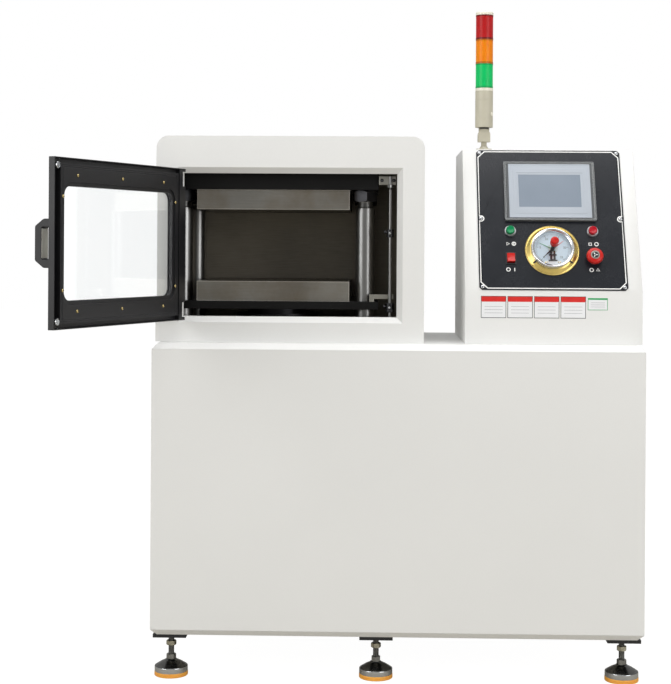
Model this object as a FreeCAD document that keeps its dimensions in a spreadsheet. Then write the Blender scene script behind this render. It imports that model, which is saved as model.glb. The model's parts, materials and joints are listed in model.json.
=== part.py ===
"""Rubber mould vulcaniser: a heated platen press with its console, lamp and cabinet.

X runs to the right, Y to the back and Z up, in millimetres. The machine stands on its
feet at Z = 0, with the door open, and the origin is the middle of the floor area.
"""

import FreeCAD, Part
import math
import os
import re

import Sketcher

DOC = FreeCAD.newDocument("vulcaniser")

# Driving dimensions, each with its plain meaning in its name.
SIZES = {
    # cabinet
    "base_height": 691, "base_bottom": 105, "rear_margin": 40, "housing_gap": 97.6,
    "edge_bevel": 14.5, "skin_sheet": 2, "skin_flange": 18, "pan_sheet": 3, "seam_gap": 0.5,
    "vent_width": 170, "vent_slot": 6, "vent_pitch": 18, "vent_count": 9, "vent_drop": 60,
    # fits shared by many pieces
    "running_clearance": 0.08, "static_clearance": 0.1, "loose_clearance": 0.3,
    # levelling feet
    "foot_side_inset": 44, "foot_edge_inset": 55, "foot_middle_offset": 47,
    "foot_plate_size": 79, "foot_plate_thickness": 8, "foot_stem_diameter": 14,
    "foot_collar_height": 7, "foot_collar_wall": 2, "foot_collar_flare": 5,
    "foot_nut_flats": 21, "foot_nut_height": 11, "foot_nut_drop": 15,
    "foot_hex_flats": 20, "foot_hex_height": 12, "foot_pad_diameter": 80,
    "foot_pad_rim": 13, "foot_pad_cone": 15, "foot_pad_neck": 26, "foot_rubber_lip": 0.5,
    "foot_rubber_height": 10, "foot_stem_rise": 42, "foot_socket_depth": 14,
    # press housing
    "housing_side_inset": 1.4, "housing_setback": 50, "housing_corner": 30, "head_room": 8,
    "press_room_left": 21, "press_room_right": 109, "press_room_rear": 10,
    "opening_side": 51.5, "opening_sill": 47, "opening_drop": 75, "opening_bevel": 14,
    "opening_bevel_depth": 15, "cover_margin": 8, "rear_flange": 25,
    # press frame
    "beam_setback": 50, "beam_edge": 33, "beam_end": 50, "top_beam_thickness": 86,
    "bottom_beam_thickness": 80, "bottom_beam_drop": 166, "column_diameter": 46,
    "column_thread": 40, "column_gap": 14.5, "column_spread": 280, "column_neck": 14,
    "nut_flats": 55, "nut_height": 28, "nut_proud": 4,
    "platen_width": 370, "platen_depth": 360, "platen_thickness": 48, "daylight": 174,
    "bed_thickness": 19, "bed_height": 96, "heater_bore": 16, "heater_depth": 300,
    "heater_count": 5, "liner_sheet": 1.5, "liner_floor_rise": 44, "liner_side_gap": 10,
    "liner_rear_gap": 5, "liner_front_gap": 1, "ram_diameter": 150, "cylinder_wall": 30,
    "cylinder_floor": 30, "cylinder_drop": 16,
    # stroke limit rod
    "rod_diameter": 8, "rod_reach": 28, "rod_forward": 12, "rod_bracket_width": 42,
    "rod_bracket_height": 22, "rod_bracket_depth": 40, "rod_bracket_nose": 10,
    "rod_bracket_drop": 12, "arm_thickness": 11, "arm_depth": 20, "arm_setback": 2,
    "arm_lift": 7, "arm_inboard": 22, "arm_reach": 37, "arm_foot": 12,
    "stop_diameter": 19, "stop_height": 19, "upper_stop_rise": 156,
    "lower_stop_diameter": 23, "lower_stop_height": 22, "lower_stop_drop": 2,
    # door
    "door_clearance": 5, "door_thickness": 15, "door_proud": 13, "door_sheet": 3, "door_rim": 2.5,
    "door_open_angle": 113.5, "hinge_inset": 4, "hinge_bar": 28, "hinge_end": 8,
    "hinge_length": 34, "hinge_barrel": 9, "hinge_pin": 5, "hinge_pin_tail": 6, "hinge_leaf": 5,
    "hinge_notch": 13, "window_hinge_border": 64, "window_free_border": 32, "window_rail": 60,
    "window_corner": 20, "clamp_border": 22, "clamp_free_border": 16.5, "clamp_rail": 47,
    "clamp_thickness": 17, "glass_thickness": 6, "glass_margin": 6,
    "door_screw_head": 7, "door_screw_shank": 4, "door_screw_top": 2.5, "door_screw_edge": 9,
    "door_screw_rail": 23, "door_screw_end": 44, "door_screw_side_end": 22,
    "catch_diameter": 12, "catch_height": 11, "catch_inset": 9, "catch_rail": 17.5,
    "handle_length": 103, "handle_reach": 43, "handle_width": 24, "handle_bar": 17,
    "handle_leg": 18, "handle_cut_long": 21, "handle_cut_short": 15, "handle_inset": 24,
    # console
    "console_front": 125, "console_slope": 24, "console_slope_length": 380,
    "panel_side": 33.5, "panel_foot": 3, "panel_sheet": 2, "panel_clip": 7,
    "panel_cutout_margin": 22, "panel_screw_inset": 8, "panel_screw_head": 9,
    "panel_screw_shank": 5, "panel_screw_top": 2.6,
    "hmi_width": 221, "hmi_height": 158, "hmi_gap": 12, "hmi_front": 9, "hmi_body_border": 10,
    "hmi_body_depth": 34, "screen_width": 152, "screen_height": 87, "screen_depth": 3,
    "screen_inset": 1, "gauge_rise": 106, "gauge_flange": 130, "gauge_flange_sheet": 3,
    "gauge_case": 103, "gauge_front": 22, "gauge_back": 42, "gauge_rim": 4, "gauge_well": 14,
    "gauge_shaft": 5, "pointer_length": 34, "pointer_tail": 10, "pointer_width": 4,
    "pointer_sheet": 1.5, "pointer_hub": 10, "pointer_lift": 4, "pointer_angle": 135,
    "gauge_knob": 20, "gauge_knob_height": 20, "gauge_knob_stem": 10,
    "gauge_knob_stem_length": 28, "gauge_knob_sink": 4,
    "control_gap": 34, "control_margin": 77.5, "button_drop": 27, "switch_rise": 85, "collar_diameter": 28,
    "collar_height": 6, "barrel_diameter": 21, "barrel_depth": 30, "button_cap": 22,
    "button_height": 8, "button_travel": 3.5, "button_stem": 12, "estop_head": 40,
    "estop_head_height": 13, "estop_neck": 20, "estop_neck_height": 7, "estop_travel": 4,
    "rocker_width": 19, "rocker_height": 23, "rocker_tilt": 8, "rocker_frame_width": 25,
    "rocker_frame_height": 31, "rocker_frame_sheet": 2, "rocker_frame_depth": 22,
    "rocker_pivot_drop": 2, "rocker_crest": 6.5, "rocker_dip": 4, "rocker_root": 3,
    "rocker_taper": 2, "rocker_pin": 2.4, "rocker_swing_gap": 1.4,
    # tower lamp
    "lamp_inset": 55, "lamp_setback": 26, "lamp_diameter": 44, "lamp_plate": 40,
    "lamp_plate_sheet": 3, "lamp_flare": 24, "lamp_flare_height": 8, "lamp_neck": 14,
    "lamp_fork_floor": 20, "lamp_axis_rise": 37, "lamp_fork_width": 30, "lamp_ear": 7,
    "lamp_tongue": 13, "lamp_tongue_radius": 13, "lamp_slot_floor": 2, "lamp_pin": 6,
    "lamp_body_rise": 56, "lens_step": 0.5, "lamp_body_height": 98, "lens_height": 60.5,
    "lamp_cap_height": 9,
    # hydraulic unit
    "tank_length": 400, "tank_depth": 330, "tank_height": 240, "tank_sheet": 3,
    "tank_side_gap": 60, "tank_filler": 50, "motor_diameter": 150, "motor_length": 230,
    "motor_inset": 20, "motor_foot": 16, "pump_size": 110, "pump_length": 90,
    # rear inlet
    "inlet_diameter": 32, "inlet_length": 18, "inlet_tail": 20, "inlet_tail_length": 12,
    "inlet_bore": 14, "inlet_rise": 90, "inlet_inset": 90,
    # where the machine's floor area is centred; filled in from the finished model
    "origin_x": 0, "origin_y": 0,
}

# Sizes and places that follow from the driving dimensions. The press sets the housing, and the
# housing and console set the cabinet.
PLACES = {
    "column_span": "platen_width + column_diameter + 2 * column_gap",
    "beam_width": "column_span + 2 * beam_edge",
    "beam_depth": "column_spread + 2 * beam_end",
    "housing_width": "press_room_left + beam_width + press_room_right",
    "housing_depth": "beam_setback + beam_depth + press_room_rear",
    "base_width": "housing_side_inset + housing_width + housing_gap + console_width",
    "base_depth": "housing_setback + housing_depth + rear_margin",
    "base_left": "-base_width / 2",
    "base_right": "base_width / 2",
    "base_top": "base_bottom + base_height",
    "skin_foot": "base_bottom + edge_bevel",
    "skin_head": "base_top - edge_bevel",
    "pan_top": "base_bottom + pan_sheet",
    "bed_top": "base_top + bed_height",
    "bed_under": "bed_top - bed_thickness",
    "lower_platen_top": "bed_top + platen_thickness",
    "upper_platen_under": "lower_platen_top + daylight",
    "top_beam_under": "upper_platen_under + platen_thickness",
    "top_beam_top": "top_beam_under + top_beam_thickness",
    "bottom_beam_top": "base_top - bottom_beam_drop",
    "bottom_beam_under": "bottom_beam_top - bottom_beam_thickness",
    "cylinder_diameter": "ram_diameter + 2 * cylinder_wall",
    "cylinder_top": "bed_under - cylinder_drop",
    "housing_left": "base_left + housing_side_inset",
    "housing_rear": "housing_setback + housing_depth",
    "housing_top": "top_beam_top + nut_height + nut_proud + head_room",
    "housing_height": "housing_top - base_top",
    "opening_centre": "housing_left + housing_width / 2",
    "opening_width": "housing_width - 2 * opening_side",
    "opening_left": "opening_centre - opening_width / 2",
    "opening_right": "opening_centre + opening_width / 2",
    "opening_floor": "base_top + opening_sill",
    "opening_head": "housing_top - opening_drop",
    "opening_height": "opening_head - opening_floor",
    "beam_left": "housing_left + press_room_left",
    "beam_right": "beam_left + beam_width",
    "press_centre": "beam_left + beam_width / 2",
    "beam_front": "housing_setback + beam_setback",
    "beam_rear": "beam_front + beam_depth",
    "press_depth": "beam_front + beam_depth / 2",
    "liner_floor": "base_top + liner_floor_rise",
    "rod_x": "beam_right + rod_reach",
    "rod_y": "beam_front - rod_forward",
    "liner_left": "beam_left - liner_side_gap",
    "liner_right": "rod_x + rod_reach",
    "liner_front": "housing_setback + opening_bevel_depth + liner_front_gap",
    "liner_rear": "beam_rear + liner_rear_gap",
    "arm_under": "bed_top + arm_lift",
    "hinge_x": "opening_left + door_clearance + hinge_inset",
    "hinge_y": "housing_setback - door_proud + hinge_inset",
    "door_width": "opening_width - 2 * door_clearance",
    "door_height": "opening_height - 2 * door_clearance",
    "door_foot": "opening_floor + door_clearance",
    "door_middle": "door_foot + door_height / 2",
    "plate_inner": "door_sheet - hinge_inset",
    "clamp_face": "plate_inner + clamp_thickness",
    "free_edge": "door_width - hinge_inset",
    "window_width": "door_width - window_hinge_border - window_free_border",
    "window_height": "door_height - 2 * window_rail",
    "window_x": "window_hinge_border - hinge_inset + window_width / 2",
    "console_left": "base_right - console_width",
    "console_centre": "base_right - console_width / 2",
    "console_bend": "base_top + console_front",
    "console_top": "console_bend + console_slope_length * cos(console_slope)",
    "console_step": "housing_setback + console_slope_length * sin(console_slope)",
    "control_offset": "gauge_flange / 2 + control_gap",
    "panel_width": "2 * (control_offset + control_margin)",
    "panel_length": "console_slope_length - 2 * panel_foot",
    "console_width": "panel_width + 2 * panel_side",
    "hmi_foot": "gauge_rise + gauge_flange / 2 + hmi_gap",
    "hmi_rise": "hmi_foot + hmi_height / 2",
    "button_rise": "hmi_foot - button_drop",
    "lamp_x": "console_left + lamp_inset",
    "lamp_y": "console_step + lamp_setback",
    "foot_top": "foot_rubber_height + foot_pad_rim + foot_pad_cone",
    "foot_nut_under": "base_bottom - foot_plate_thickness - foot_nut_drop - foot_nut_height",
}

FEET = {
    "front_left": ("base_left + foot_side_inset", "foot_edge_inset"),
    "front_middle": ("-foot_middle_offset", "foot_edge_inset"),
    "front_right": ("base_right - foot_side_inset", "foot_edge_inset"),
    "rear_left": ("base_left + foot_side_inset", "base_depth - foot_edge_inset"),
    "rear_middle": ("-foot_middle_offset", "base_depth - foot_edge_inset"),
    "rear_right": ("base_right - foot_side_inset", "base_depth - foot_edge_inset"),
}

# Each frame is where a piece's own zero lies: x, y, z, the turning axis and the angle.
FRAMES = {
    "machine": ("origin_x", "origin_y", "0", (0, 0, 1), "0"),
    "door": ("hinge_x + origin_x", "hinge_y + origin_y", "0", (0, 0, 1), "-door_open_angle"),
    "panel": ("console_centre + origin_x", "housing_setback + origin_y", "console_bend",
              (1, 0, 0), "90 - console_slope"),
    "lamp": ("lamp_x + origin_x", "lamp_y + origin_y", "console_top", (0, 0, 1), "0"),
}

AXIS_TURNS = {"X": ((0, 1, 0), 90), "Y": ((1, 0, 0), -90)}
PIECES = []


# ---------------------------------------------------------------- sheets and bindings

def fill_sheet(name, entries, as_formula):
    """Makes one spreadsheet whose second column carries the aliased values."""
    sheet = DOC.addObject("Spreadsheet::Sheet", name)
    for row, (alias, content) in enumerate(entries.items(), start=1):
        sheet.set(f"A{row}", alias.replace("_", " "))
        sheet.set(f"B{row}", "=" + expression(content) if as_formula else str(content))
        sheet.setAlias(f"B{row}", alias)
    return sheet


def expression(text):
    """Puts the sheet's name before each alias in a formula."""
    def owner(match):
        word = match.group(0)
        if word in SIZES:
            return "Sizes." + word
        if word in PLACES:
            return "Places." + word
        return word
    return re.sub(r"[A-Za-z_]+", owner, text)


def bind(thing, **formulas):
    """Binds properties to formulas; two underscores in a name stand for a dot."""
    for name, text in formulas.items():
        thing.setExpression(name.replace("__", "."), expression(str(text)))


def value(alias):
    """Reads one number from the sheets."""
    sheet = SIZE_SHEET if alias in SIZES else PLACE_SHEET
    return float(getattr(sheet, alias))


SIZE_SHEET = fill_sheet("Sizes", SIZES, as_formula=False)
PLACE_SHEET = fill_sheet("Places", PLACES, as_formula=True)
DOC.recompute()


# ---------------------------------------------------------------- modelling helpers

def piece(label, frame="machine", turn=None):
    """Starts a sub-part: an empty body placed in its frame, with an optional own turn."""
    body = DOC.addObject("PartDesign::Body", label)
    body.Label = label
    x, y, z, axis, angle = FRAMES[frame]
    if turn is None:
        body.setExpression("Placement", placement(x, y, z, axis, angle))
    else:
        point, own_axis, own_angle = turn
        body.setExpression("Placement", placement(x, y, z, axis, angle) + " * "
                           + placement(*point, own_axis, own_angle))
    PIECES.append(body)
    return body


def placement(x, y, z, axis, angle):
    """Writes a placement as a formula."""
    vector = f"create(<<vector>>; {expression(x)}; {expression(y)}; {expression(z)})"
    line = "create(<<vector>>; {}; {}; {})".format(*axis)
    rotation = f"create(<<rotation>>; {line}; {expression(angle)})"
    return f"create(<<placement>>; {vector}; {rotation})"


def add_primitive(body, kind, cut, at, axis, **sizes):
    """Adds or subtracts a primitive at a place, turned so that its height runs along an axis."""
    feature = body.newObject(f"PartDesign::{'Subtractive' if cut else 'Additive'}{kind}", kind)
    if axis in AXIS_TURNS:
        line, angle = AXIS_TURNS[axis]
        feature.Placement.Rotation = FreeCAD.Rotation(FreeCAD.Vector(*line), angle)
    x, y, z = at
    bind(feature, Placement__Base__x=x, Placement__Base__y=y, Placement__Base__z=z, **sizes)
    return feature


def block(body, at, size, cut=False):
    """A box from its low corner."""
    length, width, height = size
    return add_primitive(body, "Box", cut, at, "Z", Length=length, Width=width, Height=height)


def centred_block(body, centre, size, cut=False):
    """A box about a centre in X and Y, from its underside up."""
    x, y, z = centre
    length, width, height = size
    corner = (f"{x} - ({length}) / 2", f"{y} - ({width}) / 2", z)
    return block(body, corner, size, cut)


def shaft(body, at, diameter, length, axis="Z", cut=False):
    """A round bar or bore that starts at a point and runs along an axis."""
    return add_primitive(body, "Cylinder", cut, at, axis, Radius=f"({diameter}) / 2", Height=length)


def taper(body, at, diameter, end_diameter, length):
    """A cone frustum that stands on a point."""
    return add_primitive(body, "Cone", False, at, "Z", Radius1=f"({diameter}) / 2",
                         Radius2=f"({end_diameter}) / 2", Height=length)


def hexagon(body, at, flats, length):
    """A hexagonal bar of a given width across its flats."""
    feature = add_primitive(body, "Prism", False, at, "Z", Circumradius=f"({flats}) / sqrt(3)",
                            Height=length)
    feature.Polygon = 6
    return feature


def sketch_on(body, role, offset="0"):
    """Attaches a sketch to one of the body's own planes, moved along the plane's normal."""
    sketch = body.newObject("Sketcher::SketchObject", "Sketch")
    plane = next(item for item in body.Origin.OriginFeatures if item.Role == role)
    sketch.AttachmentSupport = [(plane, "")]
    sketch.MapMode = "FlatFace"
    bind(sketch, AttachmentOffset__Base__z=offset)
    return sketch


def outline(sketch, corners):
    """Draws a closed outline whose corners are dimensioned from the sketch's origin."""
    count = len(corners)
    points = [FreeCAD.Vector(evaluate(across), evaluate(up), 0) for across, up in corners]
    for start, end in zip(points, points[1:] + points[:1]):
        sketch.addGeometry(Part.LineSegment(start, end), False)
    for index in range(count):
        sketch.addConstraint(Sketcher.Constraint("Coincident", index, 2, (index + 1) % count, 1))
    for index, corner in enumerate(corners):
        for kind, text in zip(("DistanceX", "DistanceY"), corner):
            number = sketch.addConstraint(
                Sketcher.Constraint(kind, -1, 1, index, 1, evaluate(text)))
            sketch.setExpression(f"Constraints[{number}]", expression(text))


def evaluate(text):
    """Works a formula out for a sketch's first drawing."""
    result = SIZE_SHEET.evalExpression(expression(text))
    return float(result)


def pad(body, role, corners, length, offset="0"):
    """Extrudes an outline along its plane's normal."""
    sketch = sketch_on(body, role, offset)
    outline(sketch, corners)
    feature = body.newObject("PartDesign::Pad", "Pad")
    feature.Profile = sketch
    bind(feature, Length=length)
    sketch.Visibility = False
    return feature


def rectangle(x, y, length, width):
    """The four corners of a rectangle from its low corner."""
    return [(x, y), (f"{x} + {length}", y), (f"{x} + {length}", f"{y} + {width}"),
            (x, f"{y} + {width}")]


def dress(body, kind, size, wanted, name="Radius"):
    """Fillets or chamfers the edges of the current shape that a test picks."""
    DOC.recompute()
    base = body.Tip
    names = [f"Edge{number}" for number, edge in enumerate(base.Shape.Edges, start=1)
             if wanted(edge)]
    feature = body.newObject(f"PartDesign::{kind}", kind)
    feature.Base = (base, names)
    bind(feature, **{name: size})
    return feature


def round_crown(body, radius):
    """Rounds the topmost edge of a round piece."""
    DOC.recompute()
    crown = body.Tip.Shape.BoundBox.ZMax
    return dress(body, "Fillet", radius, lambda edge: abs(edge.BoundBox.ZMin - crown) < 1e-6)


def hollow(body, sheet, open_faces):
    """Turns the solid into a sheet shell that is open at the faces that a test picks."""
    DOC.recompute()
    base = body.Tip
    names = [f"Face{number}" for number, face in enumerate(base.Shape.Faces, start=1)
             if open_faces(face)]
    feature = body.newObject("PartDesign::Thickness", "Thickness")
    feature.Base = (base, names)
    feature.Reversed = True
    bind(feature, Value=sheet)
    return feature


def runs_along(edge, axis):
    """Whether a straight edge runs along an axis."""
    box = edge.BoundBox
    spans = {"X": box.XLength, "Y": box.YLength, "Z": box.ZLength}
    return spans[axis] > 1e-6 and all(span < 1e-6 for name, span in spans.items() if name != axis)


def faces_towards(direction, limit=0.9):
    """A test for flat faces whose outward normal points in a direction."""
    wanted = FreeCAD.Vector(*direction)

    def test(face):
        low, high, side_low, side_high = face.ParameterRange
        normal = face.normalAt((low + high) / 2, (side_low + side_high) / 2)
        return normal.dot(wanted) > limit and isinstance(face.Surface, Part.Plane)
    return test


def row_of(body, original, axis_role, pitch, count):
    """Repeats a feature in a row along one of the body's own axes."""
    feature = body.newObject("PartDesign::LinearPattern", "LinearPattern")
    feature.Originals = [original]
    line = next(item for item in body.Origin.OriginFeatures if item.Role == axis_role)
    feature.Direction = (line, [""])
    bind(feature, Length=f"({pitch}) * ({count} - 1)", Occurrences=count)
    body.Tip = feature
    return feature


# ---------------------------------------------------------------- cabinet

def make_cabinet():
    """Bevelled bottom tray and table top with five sheet skins between them."""
    tray = piece("base_pan")
    tray_pad = pad(tray, "XY_Plane",
                   rectangle("base_left + edge_bevel", "edge_bevel", "base_width - 2 * edge_bevel",
                             "base_depth - 2 * edge_bevel"), "edge_bevel", "base_bottom")
    tray_pad.TaperAngle = 45
    hollow(tray, "pan_sheet", faces_towards((0, 0, 1)))
    for x, y in FEET.values():
        shaft(tray, (x, y, "base_bottom"), "foot_stem_diameter + 2 * static_clearance",
              "pan_sheet", cut=True)

    table = piece("table_top")
    table_pad = pad(table, "XY_Plane", rectangle("base_left", "0", "base_width", "base_depth"),
                    "edge_bevel", "skin_head")
    table_pad.TaperAngle = -45
    hollow(table, "pan_sheet", faces_towards((0, 0, -1)))
    shaft(table, ("press_centre", "press_depth", "skin_head"),
          "cylinder_diameter + 2 * loose_clearance", "edge_bevel", cut=True)
    for x, y in column_places():
        shaft(table, (x, y, "skin_head"), "column_diameter + 2 * loose_clearance", "edge_bevel",
              cut=True)

    skin_height = "skin_head - skin_foot"
    front = piece("front_cover")
    block(front, ("base_left", "0", "skin_foot"), ("base_width", "skin_flange", skin_height))
    hollow(front, "skin_sheet", faces_towards((0, 1, 0)))

    side_start = "skin_flange + seam_gap"
    side_depth = "base_depth - skin_flange - seam_gap"
    left = piece("left_side_panel")
    block(left, ("base_left", side_start, "skin_foot"), ("skin_flange", side_depth, skin_height))
    hollow(left, "skin_sheet", faces_towards((1, 0, 0)))

    right = piece("right_side_panel")
    block(right, ("base_right - skin_flange", side_start, "skin_foot"),
          ("skin_flange", side_depth, skin_height))
    hollow(right, "skin_sheet", faces_towards((-1, 0, 0)))

    rear = piece("rear_panel")
    inset = "skin_flange + seam_gap"
    block(rear, (f"base_left + {inset}", "base_depth - skin_flange", "skin_foot"),
          (f"base_width - 2 * ({inset})", "skin_flange", skin_height))
    hollow(rear, "skin_sheet", faces_towards((0, -1, 0)))
    for centre in ("press_centre", "console_centre"):
        slot = block(rear, (f"{centre} - vent_width / 2", "base_depth - skin_sheet",
                            "skin_head - vent_drop - vent_pitch * vent_count"),
                     ("vent_width", "skin_sheet", "vent_slot"), cut=True)
        row_of(rear, slot, "Z_Axis", "vent_pitch", "vent_count")
    shaft(rear, ("base_right - inlet_inset", "base_depth - skin_sheet", "skin_foot + inlet_rise"),
          "inlet_tail + 2 * static_clearance", "skin_sheet", axis="Y", cut=True)

    inlet = piece("power_inlet")
    hub_x = "base_right - inlet_inset"
    hub_z = "skin_foot + inlet_rise"
    shaft(inlet, (hub_x, "base_depth", hub_z), "inlet_diameter", "inlet_length", axis="Y")
    shaft(inlet, (hub_x, "base_depth - inlet_tail_length", hub_z), "inlet_tail",
          "inlet_tail_length", axis="Y")
    shaft(inlet, (hub_x, "base_depth - inlet_tail_length", hub_z), "inlet_bore",
          "inlet_tail_length + inlet_length", axis="Y", cut=True)


def make_feet():
    """Six levelling feet: plates and lock nuts above, screws, pads and rubbers below."""
    plates = piece("foot_plates")
    nuts = piece("foot_locknuts")
    pads = piece("foot_pads")
    rubbers = piece("foot_rubbers")
    bore = "foot_stem_diameter + 2 * running_clearance"
    plate_under = "base_bottom - foot_plate_thickness"
    pad_width = "foot_pad_diameter - 2 * foot_rubber_lip"
    for name, (x, y) in FEET.items():
        centred_block(plates, (x, y, plate_under),
                      ("foot_plate_size", "foot_plate_size", "foot_plate_thickness"))
        taper(plates, (x, y, f"{plate_under} - foot_collar_height"),
              "foot_stem_diameter + 2 * foot_collar_wall", "foot_stem_diameter + 2 * foot_collar_flare",
              "foot_collar_height")
        shaft(plates, (x, y, f"{plate_under} - foot_collar_height"), bore,
              "foot_plate_thickness + foot_collar_height", cut=True)

        hexagon(nuts, (x, y, "foot_nut_under"), "foot_nut_flats", "foot_nut_height")
        shaft(nuts, (x, y, "foot_nut_under"), bore, "foot_nut_height", cut=True)

        shaft(pads, (x, y, "foot_rubber_height"), pad_width, "foot_pad_rim")
        taper(pads, (x, y, "foot_rubber_height + foot_pad_rim"), pad_width, "foot_pad_neck",
              "foot_pad_cone")
        shaft(pads, (x, y, "foot_top - foot_socket_depth"), bore, "foot_socket_depth", cut=True)

        shaft(rubbers, (x, y, "0"), "foot_pad_diameter", "foot_rubber_height")

        stem = piece(f"foot_stem_{name}")
        stem_foot = "foot_top - foot_socket_depth + loose_clearance"
        shaft(stem, (x, y, stem_foot), "foot_stem_diameter",
              f"base_bottom + foot_stem_rise - ({stem_foot})")
        hexagon(stem, (x, y, "foot_top + loose_clearance"), "foot_hex_flats", "foot_hex_height")


# ---------------------------------------------------------------- press

def column_places():
    """The four column axes."""
    return [(f"press_centre {side} column_span / 2", f"press_depth {end} column_spread / 2")
            for side in "-+" for end in "-+"]


def make_housing():
    """The sheet cover over the press, with its bevelled door opening, and the black liner."""
    housing = piece("press_housing")
    block(housing, ("housing_left", "housing_setback", "base_top"),
          ("housing_width", "housing_depth", "housing_height"))
    top = value("housing_top")
    dress(housing, "Fillet", "housing_corner",
          lambda edge: runs_along(edge, "Y") and abs(edge.BoundBox.ZMax - top) < 1e-6)
    hollow(housing, "skin_sheet", faces_towards((0, 0, -1)))
    block(housing, ("housing_left + rear_flange", "housing_rear - skin_sheet",
                    "base_top + rear_flange"),
          ("housing_width - 2 * rear_flange", "skin_sheet",
           "housing_height - 2 * rear_flange"), cut=True)
    funnel(housing, "skin_sheet * sqrt(2)", cut=False)
    funnel(housing, "0", cut=True)

    cover = piece("press_rear_cover")
    block(cover, ("housing_left + cover_margin", "housing_rear", "base_top + cover_margin"),
          ("housing_width - 2 * cover_margin", "skin_sheet",
           "housing_height - 2 * cover_margin"))
    corner = value("housing_top") - value("cover_margin")
    dress(cover, "Fillet", "housing_corner - cover_margin",
          lambda edge: runs_along(edge, "Y") and abs(edge.BoundBox.ZMax - corner) < 1e-6)
    slot = block(cover, ("opening_centre - vent_width / 2", "housing_rear",
                         "housing_top - vent_drop - vent_pitch * vent_count"),
                 ("vent_width", "skin_sheet", "vent_slot"), cut=True)
    row_of(cover, slot, "Z_Axis", "vent_pitch", "vent_count")

    make_liner()


def make_liner():
    """The black chamber lining: two side panels, a rear panel and a floor panel with holes."""
    liner = piece("chamber_liner")
    depth = "liner_rear - liner_front"
    height = "top_beam_top - base_top"
    for left in ("liner_left", "liner_right - liner_sheet"):
        block(liner, (left, "liner_front", "base_top"), ("liner_sheet", depth, height))
    inner_left = "liner_left + liner_sheet + seam_gap"
    inner_width = "liner_right - liner_left - 2 * liner_sheet - 2 * seam_gap"
    block(liner, (inner_left, "liner_rear - liner_sheet", "base_top"),
          (inner_width, "liner_sheet", height))
    block(liner, (inner_left, "liner_front", "liner_floor - liner_sheet"),
          (inner_width, f"{depth} - liner_sheet - seam_gap", "liner_sheet"))
    shaft(liner, ("press_centre", "press_depth", "liner_floor - liner_sheet"),
          "cylinder_diameter + 2 * loose_clearance", "liner_sheet", cut=True)
    for x, y in column_places():
        shaft(liner, (x, y, "liner_floor - liner_sheet"), "column_diameter + 2 * loose_clearance",
              "liner_sheet", cut=True)


def funnel(housing, wall, cut):
    """The opening's bevelled return as a wedge, either its outside or its inside."""
    kind = "Subtractive" if cut else "Additive"
    wedge = housing.newObject(f"PartDesign::{kind}Wedge", "Wedge")
    inner_left = f"opening_left + opening_bevel - {wall}"
    inner_right = f"opening_right - opening_bevel + {wall}"
    inner_floor = f"opening_floor + opening_bevel - {wall}"
    inner_head = f"opening_head - opening_bevel + {wall}"
    formulas = {"Xmin": f"opening_left - {wall}", "Xmax": f"opening_right + {wall}",
                "Zmin": f"opening_floor - {wall}", "Zmax": f"opening_head + {wall}",
                "X2min": inner_left, "X2max": inner_right, "Z2min": inner_floor,
                "Z2max": inner_head, "Ymin": "housing_setback",
                "Ymax": "housing_setback + opening_bevel_depth"}
    for wide in ("Xmax", "Ymax", "Zmax", "X2max", "Z2max", "Xmin", "Ymin", "Zmin", "X2min",
                 "Z2min"):
        setattr(wedge, wide, evaluate(formulas[wide]))
    bind(wedge, **formulas)
    return wedge


def make_press_frame():
    """Beams, columns, nuts, the fixed platen and the hydraulic cylinder."""
    bore = "column_thread + 2 * static_clearance"
    for label, foot, thickness in (("top_beam", "top_beam_under", "top_beam_thickness"),
                                   ("bottom_beam", "bottom_beam_under", "bottom_beam_thickness")):
        beam = piece(label)
        block(beam, ("beam_left", "beam_front", foot), ("beam_width", "beam_depth", thickness))
        for x, y in column_places():
            shaft(beam, (x, y, foot), bore, thickness, cut=True)

    columns = piece("columns")
    nuts = piece("column_nuts")
    shoulder = "top_beam_under - nut_height - column_neck"
    for x, y in column_places():
        shaft(columns, (x, y, "pan_top"), "column_thread",
              "top_beam_top + nut_height + nut_proud - pan_top")
        shaft(columns, (x, y, "bottom_beam_top"), "column_diameter",
              f"{shoulder} - bottom_beam_top")
        for foot in ("top_beam_under - nut_height", "top_beam_top",
                     "bottom_beam_under - nut_height"):
            hexagon(nuts, (x, y, foot), "nut_flats", "nut_height")
            shaft(nuts, (x, y, foot), bore, "nut_height", cut=True)

    make_platen("upper_platen", "upper_platen_under")

    cylinder = piece("cylinder")
    shaft(cylinder, ("press_centre", "press_depth", "bottom_beam_top"), "cylinder_diameter",
          "cylinder_top - bottom_beam_top")
    shaft(cylinder, ("press_centre", "press_depth", "bottom_beam_top + cylinder_floor"),
          "ram_diameter + 2 * running_clearance",
          "cylinder_top - bottom_beam_top - cylinder_floor", cut=True)


def make_platen(label, foot):
    """A heating platen with its row of heater bores from the back."""
    platen = piece(label)
    centred_block(platen, ("press_centre", "press_depth", foot),
                  ("platen_width", "platen_depth", "platen_thickness"))
    pitch = "platen_width / heater_count"
    bore = shaft(platen, (f"press_centre - {pitch} * (heater_count - 1) / 2",
                          "press_depth + platen_depth / 2 - heater_depth",
                          f"{foot} + platen_thickness / 2"),
                 "heater_bore", "heater_depth", axis="Y", cut=True)
    row_of(platen, bore, "X_Axis", pitch, "heater_count")


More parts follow.
